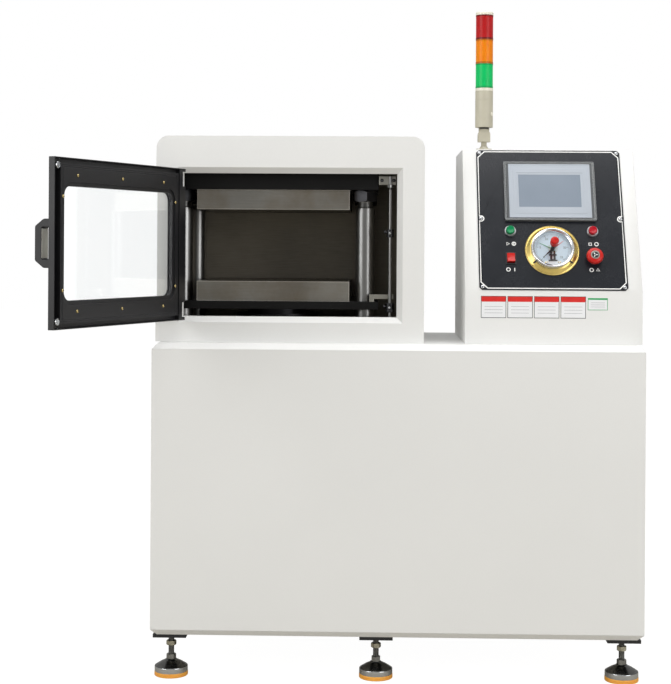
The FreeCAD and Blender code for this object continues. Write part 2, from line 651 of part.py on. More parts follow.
def make_moving_bed():
    """Everything that the ram lifts: the bed, its platen and the trip arm."""
    ram = piece("ram")
    ram_foot = "bottom_beam_top + cylinder_floor + 2 * loose_clearance"
    shaft(ram, ("press_centre", "press_depth", ram_foot), "ram_diameter",
          f"bed_under - ({ram_foot})")

    bed = piece("moving_bed")
    block(bed, ("beam_left", "beam_front", "bed_under"),
          ("beam_width", "beam_depth", "bed_thickness"))
    for x, y in column_places():
        shaft(bed, (x, y, "bed_under"), "column_diameter + 2 * running_clearance",
              "bed_thickness", cut=True)

    make_platen("lower_platen", "bed_top")

    arm = piece("trip_arm")
    start = "beam_right - arm_inboard"
    block(arm, (start, "beam_front + arm_setback", "arm_under"),
          ("arm_inboard + arm_reach", "arm_depth", "arm_thickness"))
    block(arm, (start, "beam_front + arm_setback", "bed_top"),
          ("arm_foot", "arm_depth", "arm_lift"))


def make_limit_rod():
    """The fixed rod beside the platens, with its bracket and two sliding stops."""
    rod = piece("limit_rod")
    head = "top_beam_under + rod_bracket_drop"
    block(rod, ("beam_right", "rod_y - rod_bracket_nose", head),
          ("rod_bracket_width", "rod_bracket_depth", "rod_bracket_height"))
    shaft(rod, ("rod_x", "rod_y", "liner_floor"), "rod_diameter", f"{head} - liner_floor")

    bore = "rod_diameter + 2 * running_clearance"
    upper = piece("upper_stop")
    foot = "bed_top + upper_stop_rise"
    shaft(upper, ("rod_x", "rod_y", foot), "stop_diameter", "stop_height")
    shaft(upper, ("rod_x", "rod_y", foot), bore, "stop_height", cut=True)

    lower = piece("lower_stop")
    foot = "bed_top - lower_stop_drop - lower_stop_height"
    shaft(lower, ("rod_x", "rod_y", foot), "lower_stop_diameter", "lower_stop_height")
    shaft(lower, ("rod_x", "rod_y", foot), bore, "lower_stop_height", cut=True)


# ---------------------------------------------------------------- door

def hinge_spans():
    """The underside of each hinge barrel."""
    return ["door_foot + hinge_end", "door_foot + door_height - hinge_end - hinge_length"]


def screw_places():
    """Where the clamp frame's screws stand, across the door and up."""
    rail = "window_height / 2 + door_screw_rail"
    post = "window_width / 2 + door_screw_edge"
    pitch = "window_width / 2 - door_screw_end"
    rise = "window_height / 2 - door_screw_side_end"
    rows = [(f"window_x + {step} * ({pitch})", f"door_middle {end} ({rail})")
            for step in (-1, 0, 1) for end in "-+"]
    posts = [(f"window_x {side} ({post})", f"door_middle {end} ({rise})")
             for side in "-+" for end in "-+"]
    return rows + posts


def make_door():
    """The hinged door, in its own frame: the hinge axis is its zero, the door runs along X."""
    frame = piece("door_frame", "door")
    outer = "-hinge_inset"
    block(frame, ("-hinge_inset", outer, "door_foot"),
          ("door_width", "door_thickness", "door_height"))
    block(frame, ("hinge_bar - hinge_inset", "plate_inner", "door_foot + door_rim"),
          ("door_width - hinge_bar - door_rim", "door_thickness - door_sheet",
           "door_height - 2 * door_rim"), cut=True)
    window_cut(frame, outer, "door_sheet")
    for foot in hinge_spans():
        block(frame, ("-hinge_inset", outer, f"{foot} - loose_clearance"),
              ("hinge_notch", "door_thickness", "hinge_length + 2 * loose_clearance"), cut=True)
        shaft(frame, ("0", "0", f"{foot} - hinge_pin_tail - loose_clearance"),
              "hinge_pin + 2 * running_clearance",
              "hinge_length + 2 * hinge_pin_tail + 2 * loose_clearance", cut=True)

    glass = piece("door_glass", "door")
    centred_tall(glass, "plate_inner", "window_width + 2 * glass_margin",
                 "window_height + 2 * glass_margin", "glass_thickness")

    clamp = piece("glass_clamp", "door")
    block(clamp, ("window_x - window_width / 2 - clamp_border", "plate_inner",
                  "door_middle - window_height / 2 - clamp_rail"),
          ("window_width + clamp_border + clamp_free_border", "clamp_thickness",
           "window_height + 2 * clamp_rail"))
    centred_tall(clamp, "plate_inner", "window_width + 2 * glass_margin + 2 * loose_clearance",
                 "window_height + 2 * glass_margin + 2 * loose_clearance", "glass_thickness",
                 cut=True)
    window_cut(clamp, "plate_inner", "clamp_thickness")
    for x, z in screw_places():
        shaft(clamp, (x, "plate_inner", z), "door_screw_shank + 2 * static_clearance",
              "clamp_thickness", axis="Y", cut=True)

    screws = piece("door_screws", "door")
    for x, z in screw_places():
        shaft(screws, (x, "plate_inner", z), "door_screw_shank",
              "clamp_thickness + door_screw_top", axis="Y")
        shaft(screws, (x, "clamp_face", z), "door_screw_head", "door_screw_top", axis="Y")
    for z in ("door_foot + catch_rail", "door_foot + door_height - catch_rail"):
        shaft(screws, ("free_edge - catch_inset", "plate_inner", z), "catch_diameter",
              "catch_height", axis="Y")

    handle = piece("door_handle", "door")
    low = "door_middle - handle_length / 2"
    high = "door_middle + handle_length / 2"
    tip = "-hinge_inset - handle_reach"
    corners = [(outer, low), (f"{tip} + handle_cut_long", low), (tip, f"{low} + handle_cut_short"),
               (tip, f"{high} - handle_cut_short"), (f"{tip} + handle_cut_long", high),
               (outer, high)]
    pad(handle, "YZ_Plane", corners, "handle_width",
        "free_edge - handle_inset - handle_width / 2")
    block(handle, ("free_edge - handle_inset - handle_width / 2", f"{tip} + handle_bar",
                   f"{low} + handle_leg"),
          ("handle_width", "handle_reach - handle_bar", "handle_length - 2 * handle_leg"),
          cut=True)

    pins = piece("hinge_pins")
    for foot in hinge_spans():
        shaft(pins, ("hinge_x", "hinge_y", foot), "hinge_barrel", "hinge_length")
        shaft(pins, ("hinge_x", "hinge_y", f"{foot} - hinge_pin_tail"), "hinge_pin",
              "hinge_length + 2 * hinge_pin_tail")
        leaf_left = "hinge_x - hinge_leaf / 2"
        slope = "opening_bevel_depth / opening_bevel"
        landing = f"housing_setback + (hinge_x {{}} hinge_leaf / 2 - opening_left) * {slope}"
        corners = [(leaf_left, "hinge_y"), (f"{leaf_left} + hinge_leaf", "hinge_y"),
                   (f"{leaf_left} + hinge_leaf", landing.format("+")),
                   (leaf_left, landing.format("-"))]
        pad(pins, "XY_Plane", corners, "hinge_length", foot)


def centred_tall(body, depth_start, width, height, thickness, cut=False):
    """A flat slab about the middle of the window."""
    block(body, (f"window_x - ({width}) / 2", depth_start, f"door_middle - ({height}) / 2"),
          (width, thickness, height), cut)


def window_cut(body, depth_start, thickness):
    """Cuts the window, with its round corners, as a cross of two slabs and four bores."""
    centred_tall(body, depth_start, "window_width", "window_height - 2 * window_corner",
                 thickness, cut=True)
    centred_tall(body, depth_start, "window_width - 2 * window_corner", "window_height",
                 thickness, cut=True)
    for side in "-+":
        for end in "-+":
            shaft(body, (f"window_x {side} (window_width / 2 - window_corner)", depth_start,
                         f"door_middle {end} (window_height / 2 - window_corner)"),
                  "2 * window_corner", thickness, axis="Y", cut=True)


# ---------------------------------------------------------------- console

def make_console():
    """The console's sheet shell and the dark panel plate on its slope."""
    shell = piece("console_shell")
    corners = [("housing_setback", "base_top"), ("housing_rear", "base_top"),
               ("housing_rear", "console_top"), ("console_step", "console_top"),
               ("housing_setback", "console_bend")]
    pad(shell, "YZ_Plane", corners, "console_width", "console_left")
    hollow(shell, "skin_sheet", faces_towards((0, 0, -1)))
    window = shell.newObject("PartDesign::SubtractiveBox", "Window")
    bind(window, Length="panel_width - 2 * panel_cutout_margin",
         Width="panel_length - 2 * panel_cutout_margin", Height="4 * skin_sheet")
    slope = placement("console_centre", "housing_setback", "console_bend", (1, 0, 0),
                      "90 - console_slope")
    corner = placement("-panel_width / 2 + panel_cutout_margin",
                       "panel_foot + panel_cutout_margin", "-2 * skin_sheet", (0, 0, 1), "0")
    window.setExpression("Placement", f"{slope} * {corner}")

    plate = piece("panel_plate", "panel")
    block(plate, ("-panel_width / 2", "panel_foot", "0"),
          ("panel_width", "panel_length", "panel_sheet"))
    dress(plate, "Chamfer", "panel_clip", lambda edge: runs_along(edge, "Z"), "Size")
    narrowing = "2 * (hmi_body_border - static_clearance)"
    centred_block(plate, ("0", "hmi_rise", "0"),
                  (f"hmi_width - {narrowing}", f"hmi_height - {narrowing}", "panel_sheet"),
                  cut=True)
    shaft(plate, ("0", "gauge_rise", "0"), "gauge_case + 2 * static_clearance", "panel_sheet",
          cut=True)
    for x, y in round_controls():
        shaft(plate, (x, y, "0"), "barrel_diameter + 2 * static_clearance", "panel_sheet",
              cut=True)
    block(plate, ("-control_offset - rocker_frame_width / 2 + rocker_frame_sheet",
                  "switch_rise - rocker_frame_height / 2 + rocker_frame_sheet", "0"),
          ("rocker_frame_width - 2 * rocker_frame_sheet",
           "rocker_frame_height - 2 * rocker_frame_sheet", "panel_sheet"), cut=True)
    for x, y in panel_screw_places():
        shaft(plate, (x, y, "0"), "panel_screw_shank + 2 * static_clearance", "panel_sheet",
              cut=True)

    screws = piece("panel_screws", "panel")
    for x, y in panel_screw_places():
        shaft(screws, (x, y, "0"), "panel_screw_shank", "panel_sheet + panel_screw_top")
        shaft(screws, (x, y, "panel_sheet"), "panel_screw_head", "panel_screw_top")


def round_controls():
    """The start, stop and emergency buttons' axes on the panel."""
    return [("-control_offset", "button_rise"), ("control_offset", "button_rise"),
            ("control_offset", "switch_rise")]


def panel_screw_places():
    """Six screws: the corners and the middles of the long sides."""
    rises = ("panel_foot + panel_screw_inset", "panel_foot + panel_length / 2",
             "panel_foot + panel_length - panel_screw_inset")
    return [(f"{side}(panel_width / 2 - panel_screw_inset)", rise)
            for side in ("-", "") for rise in rises]


def make_hmi():
    """The touch screen unit."""
    unit = piece("hmi_housing", "panel")
    block(unit, ("-hmi_width / 2", "hmi_rise - hmi_height / 2", "panel_sheet"),
          ("hmi_width", "hmi_height", "hmi_front"))
    block(unit, ("-hmi_width / 2 + hmi_body_border", "hmi_rise - hmi_height / 2 + hmi_body_border",
                 "-hmi_body_depth"),
          ("hmi_width - 2 * hmi_body_border", "hmi_height - 2 * hmi_body_border",
           "hmi_body_depth + panel_sheet"))
    face = "panel_sheet + hmi_front - screen_depth - screen_inset"
    block(unit, ("-screen_width / 2 - static_clearance",
                 "hmi_rise - screen_height / 2 - static_clearance", face),
          ("screen_width + 2 * static_clearance", "screen_height + 2 * static_clearance",
           "screen_depth + screen_inset"), cut=True)

    screen = piece("hmi_screen", "panel")
    block(screen, ("-screen_width / 2", "hmi_rise - screen_height / 2", face),
          ("screen_width", "screen_height", "screen_depth"))


def make_gauge():
    """The contact pressure gauge: brass flange, case, pointer and setting knob."""
    flange = piece("gauge_flange", "panel")
    shaft(flange, ("0", "gauge_rise", "panel_sheet"), "gauge_flange", "gauge_flange_sheet")
    shaft(flange, ("0", "gauge_rise", "panel_sheet"), "gauge_case + 2 * static_clearance",
          "gauge_flange_sheet", cut=True)

    floor = "gauge_front - gauge_well"
    case = piece("gauge_case", "panel")
    shaft(case, ("0", "gauge_rise", "-gauge_back"), "gauge_case", "gauge_back + gauge_front")
    shaft(case, ("0", "gauge_rise", floor), "gauge_case - 2 * gauge_rim", "gauge_well", cut=True)
    shaft(case, ("0", "gauge_rise", f"{floor} - gauge_shaft"),
          "gauge_shaft + 2 * running_clearance", "gauge_shaft", cut=True)

    pointer = piece("gauge_pointer", "panel",
                    (("0", "gauge_rise", f"{floor} + pointer_lift"), (0, 0, 1), "pointer_angle"))
    shaft(pointer, ("0", "0", "0"), "pointer_hub", "pointer_sheet")
    block(pointer, ("-pointer_width / 2", "-pointer_tail", "0"),
          ("pointer_width", "pointer_length + pointer_tail", "pointer_sheet"))
    shaft(pointer, ("0", "0", "0"), "gauge_shaft + 2 * running_clearance", "pointer_sheet",
          cut=True)

    knob = piece("gauge_knob", "panel")
    shaft(knob, ("0", "gauge_rise", f"{floor} - gauge_shaft + loose_clearance"), "gauge_shaft",
          "gauge_shaft + gauge_well")
    stem_foot = "gauge_front - gauge_knob_sink"
    shaft(knob, ("0", "gauge_rise", stem_foot), "gauge_knob_stem", "gauge_knob_stem_length")
    shaft(knob, ("0", "gauge_rise", f"{stem_foot} + gauge_knob_stem_length"), "gauge_knob",
          "gauge_knob_height")


def make_switches():
    """Start and stop buttons, the emergency stop and the power rocker, with their collars."""
    collars = piece("switch_collars", "panel")
    stem_bore = "button_stem + 2 * running_clearance"
    well = "button_travel + 1"
    for x, y in round_controls():
        shaft(collars, (x, y, "panel_sheet"), "collar_diameter", "collar_height")
        shaft(collars, (x, y, "-barrel_depth"), "barrel_diameter", "barrel_depth + panel_sheet")
        shaft(collars, (x, y, f"panel_sheet + collar_height - ({well})"),
              "button_cap + 2 * loose_clearance", well, cut=True)
        shaft(collars, (x, y, "-barrel_depth"), stem_bore,
              f"barrel_depth + panel_sheet + collar_height - ({well})", cut=True)

    cap_foot = f"panel_sheet + collar_height - ({well}) + button_travel + loose_clearance"
    for label, side in (("start_button", "-"), ("stop_button", "")):
        button = piece(label, "panel")
        at = (f"{side}control_offset", "button_rise", cap_foot)
        shaft(button, at, "button_cap", "button_height")
        shaft(button, (at[0], at[1], "-barrel_depth / 2"), "button_stem",
              f"barrel_depth / 2 + {cap_foot}")

    estop = piece("estop_button", "panel")
    neck_foot = f"panel_sheet + collar_height - ({well}) + estop_travel + loose_clearance"
    head_foot = f"{neck_foot} + estop_neck_height"
    shaft(estop, ("control_offset", "switch_rise", "-barrel_depth / 2"), "button_stem",
          f"barrel_depth / 2 + {neck_foot}")
    shaft(estop, ("control_offset", "switch_rise", neck_foot), "estop_neck", "estop_neck_height")
    shaft(estop, ("control_offset", "switch_rise", head_foot), "estop_head", "estop_head_height")
    round_crown(estop, "estop_head_height / 3")

    centred_block(collars, ("-control_offset", "switch_rise", "panel_sheet"),
                  ("rocker_frame_width", "rocker_frame_height", "rocker_frame_sheet"))
    wall = "rocker_frame_sheet + static_clearance"
    centred_block(collars, ("-control_offset", "switch_rise", "-rocker_frame_depth"),
                  (f"rocker_frame_width - 2 * ({wall})", f"rocker_frame_height - 2 * ({wall})",
                   "rocker_frame_depth + panel_sheet"))
    centred_block(collars, ("-control_offset", "switch_rise", "-rocker_frame_depth / 2"),
                  ("rocker_width + 2 * loose_clearance", "rocker_height + 2 * rocker_swing_gap",
                   "rocker_frame_depth / 2 + panel_sheet + rocker_frame_sheet"), cut=True)
    shaft(collars, ("-control_offset - rocker_width / 2 - loose_clearance", "switch_rise",
                    "panel_sheet - rocker_pivot_drop"), "rocker_pin",
          "rocker_width + 2 * loose_clearance", axis="X")

    rocker = piece("rocker", "panel",
                   (("-control_offset", "switch_rise", "panel_sheet - rocker_pivot_drop"),
                    (1, 0, 0), "-rocker_tilt"))
    half = "rocker_height / 2"
    crest = "rocker_pivot_drop + rocker_crest"
    corners = [(f"-{half} + rocker_taper", "-rocker_root"),
               (f"{half} - rocker_taper", "-rocker_root"),
               (half, crest), ("0", "rocker_pivot_drop + rocker_dip"), (f"-{half}", crest)]
    pad(rocker, "YZ_Plane", corners, "rocker_width", "-rocker_width / 2")
    shaft(rocker, ("-rocker_width / 2", "0", "0"), "rocker_pin + 2 * running_clearance", "rocker_width",
          axis="X", cut=True)


# ---------------------------------------------------------------- tower lamp

def make_lamp():
    """The folding tower lamp: a fixed fork, and the body and lenses that tilt on its pin.

    The topmost lens carries the cap.
    """
    foot = piece("lamp_foot", "lamp")
    shaft(foot, ("0", "0", "0"), "lamp_plate", "lamp_plate_sheet")
    taper(foot, ("0", "0", "lamp_plate_sheet"), "lamp_flare", "lamp_neck", "lamp_flare_height")
    shaft(foot, ("0", "0", "lamp_plate_sheet"), "lamp_neck", "lamp_fork_floor - lamp_plate_sheet")
    slot = "lamp_tongue + 2 * loose_clearance"
    depth = f"{slot} + 2 * lamp_ear"
    centred_block(foot, ("0", "0", "lamp_fork_floor"),
                  ("lamp_fork_width", depth, "lamp_axis_rise - lamp_fork_floor"))
    shaft(foot, ("0", f"-({depth}) / 2", "lamp_axis_rise"), "lamp_fork_width", depth, axis="Y")
    centred_block(foot, ("0", "0", "lamp_fork_floor + lamp_slot_floor"),
                  ("lamp_fork_width", slot, "lamp_axis_rise + lamp_fork_width / 2"), cut=True)
    shaft(foot, ("0", f"-({depth}) / 2", "lamp_axis_rise"), "lamp_pin", depth, axis="Y")

    body = piece("lamp_body", "lamp")
    shaft(body, ("0", "0", "lamp_body_rise"), "lamp_diameter", "lamp_body_height")
    centred_block(body, ("0", "0", "lamp_axis_rise"),
                  ("2 * lamp_tongue_radius", "lamp_tongue", "lamp_body_rise - lamp_axis_rise"))
    shaft(body, ("0", "-lamp_tongue / 2", "lamp_axis_rise"), "2 * lamp_tongue_radius",
          "lamp_tongue", axis="Y")
    shaft(body, ("0", "-lamp_tongue / 2", "lamp_axis_rise"), "lamp_pin + 2 * running_clearance",
          "lamp_tongue", axis="Y", cut=True)

    start = "lamp_body_rise + lamp_body_height"
    for level, label in enumerate(("lamp_green", "lamp_orange", "lamp_red")):
        lens = piece(label, "lamp")
        shaft(lens, ("0", "0", f"{start} + {level} * lens_height"),
              "lamp_diameter - 2 * lens_step", "lens_height")
    shaft(lens, ("0", "0", f"{start} + 3 * lens_height"), "lamp_diameter", "lamp_cap_height")
    round_crown(lens, "lamp_cap_height / 3")


# ---------------------------------------------------------------- hydraulic unit

def make_hydraulics():
    """The oil tank on the cabinet floor, with the motor and pump bolted on its lid."""
    left = "base_right - tank_side_gap - tank_length"
    front = "(base_depth - tank_depth) / 2"
    tank = piece("oil_tank")
    block(tank, (left, front, "pan_top"), ("tank_length", "tank_depth", "tank_height"))
    block(tank, (f"{left} + tank_sheet", f"{front} + tank_sheet", "pan_top + tank_sheet"),
          ("tank_length - 2 * tank_sheet", "tank_depth - 2 * tank_sheet",
           "tank_height - 2 * tank_sheet"), cut=True)
    shaft(tank, (f"{left} + tank_filler", f"{front} + tank_filler",
                 "pan_top + tank_height - tank_sheet"), "tank_filler", "tank_sheet", cut=True)

    lid = "pan_top + tank_height"
    middle = "base_depth / 2"
    motor = piece("pump_motor")
    start = f"{left} + tank_length - motor_length - motor_inset"
    axis = f"{lid} + motor_foot + motor_diameter / 2"
    shaft(motor, (start, middle, axis), "motor_diameter", "motor_length", axis="X")
    block(motor, (f"{start} + motor_inset", f"{middle} - motor_diameter / 2", lid),
          ("motor_length - 2 * motor_inset", "motor_diameter",
           "motor_foot + motor_diameter / 4"))
    block(motor, (f"{start} - pump_length", f"{middle} - pump_size / 2", f"{axis} - pump_size / 2"),
          ("pump_length", "pump_size", "pump_size"))


# ---------------------------------------------------------------- build and write

def check_document():
    """Stops at any object that failed, or at a sub-part with no valid shape."""
    for thing in DOC.Objects:
        if "Invalid" in thing.State or "Error" in thing.State:
            raise RuntimeError(f"{thing.Label} failed: {thing.State}")
    for body in PIECES:
        shape = body.Shape
        if shape.isNull() or not shape.isValid() or not shape.Solids:
            raise RuntimeError(f"{body.Label} has no valid shape")


def centre_on_floor():
    """Moves the origin to the middle of the floor area that the open machine covers."""
    total = FreeCAD.BoundBox()
    for body in PIECES:
        total.add(body.Shape.optimalBoundingBox(False))
    SIZE_SHEET.set(SIZE_SHEET.getCellFromAlias("origin_x"), repr(-total.Center.x))
    SIZE_SHEET.set(SIZE_SHEET.getCellFromAlias("origin_y"), repr(-total.Center.y))
    DOC.recompute()


def main():
    """Builds every sub-part and writes one STEP file for each."""
    make_cabinet()
    make_feet()
    make_housing()
    make_press_frame()
    make_moving_bed()
    make_limit_rod()
    make_door()
    make_console()
    make_hmi()
    make_gauge()
    make_switches()
    make_lamp()
    make_hydraulics()
    DOC.recompute()
    check_document()
    centre_on_floor()
    check_document()
    os.makedirs("parts", exist_ok=True)
    for body in PIECES:
        body.Shape.exportStep(os.path.join("parts", body.Label + ".step"))
        print(f"{body.Label}: {len(body.Shape.Solids)} solids, {body.Shape.Volume:.0f} mm3")
    print(len(PIECES), "nodes")


main()
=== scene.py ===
"""Looks of the rubber mould vulcaniser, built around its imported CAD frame.

Each sub-assembly is a class. It models its pieces in millimetres, in the frame of the part
that carries them, gives them a finish, and seats them in the machine's own frame in metres.
"""

import json
import logging
import math
from collections.abc import Callable, Iterable, Sequence
from dataclasses import dataclass, field, replace
from enum import Enum
from typing import NamedTuple, Self

import bmesh
import bpy
from mathutils import Matrix, Vector


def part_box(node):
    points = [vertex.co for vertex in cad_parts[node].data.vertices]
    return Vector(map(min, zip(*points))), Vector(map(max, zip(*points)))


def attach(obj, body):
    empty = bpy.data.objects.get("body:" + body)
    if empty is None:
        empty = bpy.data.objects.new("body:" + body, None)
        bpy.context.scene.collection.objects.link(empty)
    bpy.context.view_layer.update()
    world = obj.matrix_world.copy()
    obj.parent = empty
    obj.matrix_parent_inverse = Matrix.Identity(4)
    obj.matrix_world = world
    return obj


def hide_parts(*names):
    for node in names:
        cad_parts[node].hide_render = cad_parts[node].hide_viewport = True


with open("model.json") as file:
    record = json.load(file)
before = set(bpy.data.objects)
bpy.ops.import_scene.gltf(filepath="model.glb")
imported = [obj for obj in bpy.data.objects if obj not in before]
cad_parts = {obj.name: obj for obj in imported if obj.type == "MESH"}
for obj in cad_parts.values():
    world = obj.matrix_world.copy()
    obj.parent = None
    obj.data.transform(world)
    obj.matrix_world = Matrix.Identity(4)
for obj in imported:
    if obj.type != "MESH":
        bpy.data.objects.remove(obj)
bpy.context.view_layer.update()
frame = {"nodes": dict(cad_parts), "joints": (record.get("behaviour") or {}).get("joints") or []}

LOG = logging.getLogger("vulcaniser")
MM = 0.001
UP = (0.0, 0.0, 1.0)
REAR = (0.0, 1.0, 0.0)
FRONT = (0.0, -1.0, 0.0)
RIGHT = (1.0, 0.0, 0.0)
SAME_POINT = 0.0005
SHARP_TURN = math.radians(28.0)
FLAT_TURN = math.radians(0.5)
ALONG = 0.9
LEVEL = 0.05

Point = Sequence[float]
Test = Callable[[Vector, Vector], bool]
Profile = Sequence[tuple[float, float]]


# ---- finishes

def linear(colour: str) -> tuple[float, float, float, float]:
    """Turns an sRGB hex colour to linear light.

    Args:
        colour: six hex digits after a hash.

    Returns:
        Red, green, blue and an alpha of one.
    """
    parts = [int(colour[start:start + 2], 16) / 255 for start in (1, 3, 5)]
    light = [part / 12.92 if part <= 0.04045 else ((part + 0.055) / 1.055) ** 2.4
             for part in parts]
    return (*light, 1.0)


def shaded(colour: str, factor: float) -> tuple[float, float, float, float]:
    """Lightens or darkens a hex colour in linear light."""
    red, green, blue, alpha = linear(colour)
    return (min(red * factor, 1.0), min(green * factor, 1.0), min(blue * factor, 1.0), alpha)


def fresh_tree(owner: bpy.types.Material | bpy.types.World) -> bpy.types.NodeTree:
    """Switches a material's or a world's nodes on, and clears them.

    Args:
        owner: the material or the world.

    Returns:
        Its empty tree.
    """
    owner.use_nodes = True
    owner.node_tree.nodes.clear()
    return owner.node_tree


def add_node(tree: bpy.types.NodeTree, kind: str, settings: dict | None = None,
             inputs: dict | None = None, stops: Sequence = ()) -> bpy.types.Node:
    """Adds a node with its settings and links.

    Args:
        tree: the tree that takes the node.
        kind: the node's type.
        settings: properties of the node.
        inputs: for each socket, a value or the output that feeds it.
        stops: places and colours of a colour ramp.

    Returns:
        The new node.
    """
    node = tree.nodes.new(kind)
    for name, value in (settings or {}).items():
        setattr(node, name, value)
    for socket, value in (inputs or {}).items():
        if isinstance(value, bpy.types.NodeSocket):
            tree.links.new(value, node.inputs[socket])
        else:
            node.inputs[socket].default_value = value
    for number, (place, colour) in enumerate(stops):
        points = node.color_ramp.elements
        point = points[number] if number < len(points) else points.new(place)
        point.position, point.color = place, colour
    return node


@dataclass(frozen=True)
class Finish:
    """A surface with a slow drift of tone and a fine grain, both sized in millimetres."""

    name: str
    colour: str
    roughness: float
    metallic: float = 0.0
    ior: float = 1.5
    drift_mm: float = 12.0
    drift: float = 0.05
    grain_mm: float = 1.5
    relief_mm: float = 0.01
    spread: float = 0.04
    run: tuple[float, float, float] = (1.0, 1.0, 1.0)
    edge_highlight: float = 0.0
    edge_highlight_colour: str = "#8A8A88"
    edge_highlight_mm: float = 1.5
    fixed: tuple[tuple[str, float | tuple], ...] = ()

    def material(self) -> bpy.types.Material:
        """Makes the material when it is first asked for.

        Returns:
            The one material of this finish.
        """
        made = bpy.data.materials.get(self.name)
        if made:
            return made
        made = bpy.data.materials.new(self.name)
        tree = fresh_tree(made)
        constants = {"Metallic": self.metallic, "Roughness": self.roughness, "IOR": self.ior,
                     "Base Color": linear(self.colour), **dict(self.fixed)}
        shader = add_node(tree, "ShaderNodeBsdfPrincipled", inputs=constants)
        add_node(tree, "ShaderNodeOutputMaterial", inputs={"Surface": shader.outputs["BSDF"]})
        self.pattern(tree, shader)
        return made

    def pattern(self, tree: bpy.types.NodeTree, shader: bpy.types.Node) -> None:
        """Feeds the colour, with its painted edge highlight, the roughness and the relief.

        Args:
            tree: the material's nodes.
            shader: the surface shader.
        """
        place = add_node(tree, "ShaderNodeTexCoord").outputs["Object"]
        drawn = add_node(tree, "ShaderNodeMapping", inputs={"Vector": place, "Scale": self.run})
        slow = add_node(tree, "ShaderNodeTexNoise", inputs={
            "Vector": place, "Scale": 1 / (self.drift_mm * MM), "Detail": 3.0}).outputs[0]
        fine = add_node(tree, "ShaderNodeTexNoise", inputs={
            "Vector": drawn.outputs[0], "Scale": 1 / (self.grain_mm * MM),
            "Detail": 2.0}).outputs[0]
        both = add_node(tree, "ShaderNodeMix", inputs={"Factor": 0.35, "A": slow, "B": fine})
        tone = add_node(tree, "ShaderNodeValToRGB", inputs={"Fac": both.outputs[0]}, stops=(
            (0.35, shaded(self.colour, 1 - self.drift)),
            (0.65, shaded(self.colour, 1 + self.drift)))).outputs[0]
        if self.edge_highlight:
            # Near an edge the rounded normal leaves the true one: there the colour is paler, a
            # painted highlight.
            soft = add_node(tree, "ShaderNodeBevel", {"samples": 6}, {"Radius": self.edge_highlight_mm * MM})
            true = add_node(tree, "ShaderNodeNewGeometry").outputs["Normal"]
            match = add_node(tree, "ShaderNodeVectorMath", {"operation": "DOT_PRODUCT"}, {
                0: soft.outputs[0], 1: true})
            ridge = add_node(tree, "ShaderNodeMapRange", inputs={
                "Value": match.outputs["Value"], "From Min": 0.99, "From Max": 0.85,
                "To Max": self.edge_highlight})
            tone = add_node(tree, "ShaderNodeMix", {"data_type": "RGBA"}, {
                0: ridge.outputs[0], 6: tone, 7: linear(self.edge_highlight_colour)}).outputs[2]
        gloss = add_node(tree, "ShaderNodeMapRange", inputs={
            "Value": both.outputs[0], "From Min": 0.3, "From Max": 0.7,
            "To Min": max(self.roughness - self.spread, 0.0),
            "To Max": self.roughness + self.spread})
        relief = add_node(tree, "ShaderNodeBump", inputs={
            "Height": fine, "Distance": self.relief_mm * MM})
        for socket, feed in (("Base Color", tone), ("Roughness", gloss.outputs[0]),
                             ("Normal", relief.outputs[0])):
            tree.links.new(feed, shader.inputs[socket])


@dataclass(frozen=True)
class Metal(Finish):
    """Bare or plated metal, whose tone and gloss drift a little more."""

    metallic: float = 1.0
    drift_mm: float = 25.0
    relief_mm: float = 0.02
    spread: float = 0.08


@dataclass(frozen=True)
class HeatTinted(Metal):
    """Ground steel that the heat has browned in patches."""

    tint: str = "#6E5A3C"
    tint_share: float = 0.45
    cloud_mm: float = 90.0

    def pattern(self, tree: bpy.types.NodeTree, shader: bpy.types.Node) -> None:
        """Mixes the straw tint into the ground metal's own tone.

        Args:
            tree: the material's nodes.
            shader: the surface shader.
        """
        super().pattern(tree, shader)
        tone = shader.inputs["Base Color"].links[0].from_socket
        place = add_node(tree, "ShaderNodeTexCoord").outputs["Object"]
        cloud = add_node(tree, "ShaderNodeTexNoise", inputs={
            "Vector": place, "Scale": 1 / (self.cloud_mm * MM), "Detail": 5.0, "Roughness": 0.6})
        share = add_node(tree, "ShaderNodeMapRange", inputs={
            "Value": cloud.outputs[0], "From Min": 0.35, "From Max": 0.7,
            "To Max": self.tint_share})
        mixed = add_node(tree, "ShaderNodeMix", {"data_type": "RGBA"}, {
            0: share.outputs[0], 6: tone, 7: linear(self.tint)})
        tree.links.new(mixed.outputs[2], shader.inputs["Base Color"])


@dataclass(frozen=True)
class Plated(Metal):
    """Bright zinc, whose crystals catch the light one by one."""

    crystal_mm: float = 7.0

    def pattern(self, tree: bpy.types.NodeTree, shader: bpy.types.Node) -> None:
        """Adds the crystals to the metal's tone and gloss.

        Args:
            tree: the material's nodes.
            shader: the surface shader.
        """
        super().pattern(tree, shader)
        place = add_node(tree, "ShaderNodeTexCoord").outputs["Object"]
        cells = add_node(tree, "ShaderNodeTexVoronoi", inputs={
            "Vector": place, "Scale": 1 / (self.crystal_mm * MM)}).outputs["Color"]
        shade = add_node(tree, "ShaderNodeMapRange", inputs={
            "Value": cells, "To Min": 0.75, "To Max": 1.0}).outputs[0]
        tone = shader.inputs["Base Color"].links[0].from_socket
        mixed = add_node(tree, "ShaderNodeVectorMath", {"operation": "SCALE"}, {
            0: tone, "Scale": shade})
        tree.links.new(mixed.outputs[0], shader.inputs["Base Color"])


# Polyester powder coat, sprayed and baked: a soft sheen with a fine orange peel. The peel is
# drawn a little coarser than life, 4 mm for 2 mm, so that it shows.
POWDER_COAT = Finish(
    "powder_coated_steel", "#E5E5E3", 0.42, drift=0.012, drift_mm=320.0, grain_mm=4.0,
    relief_mm=0.035)
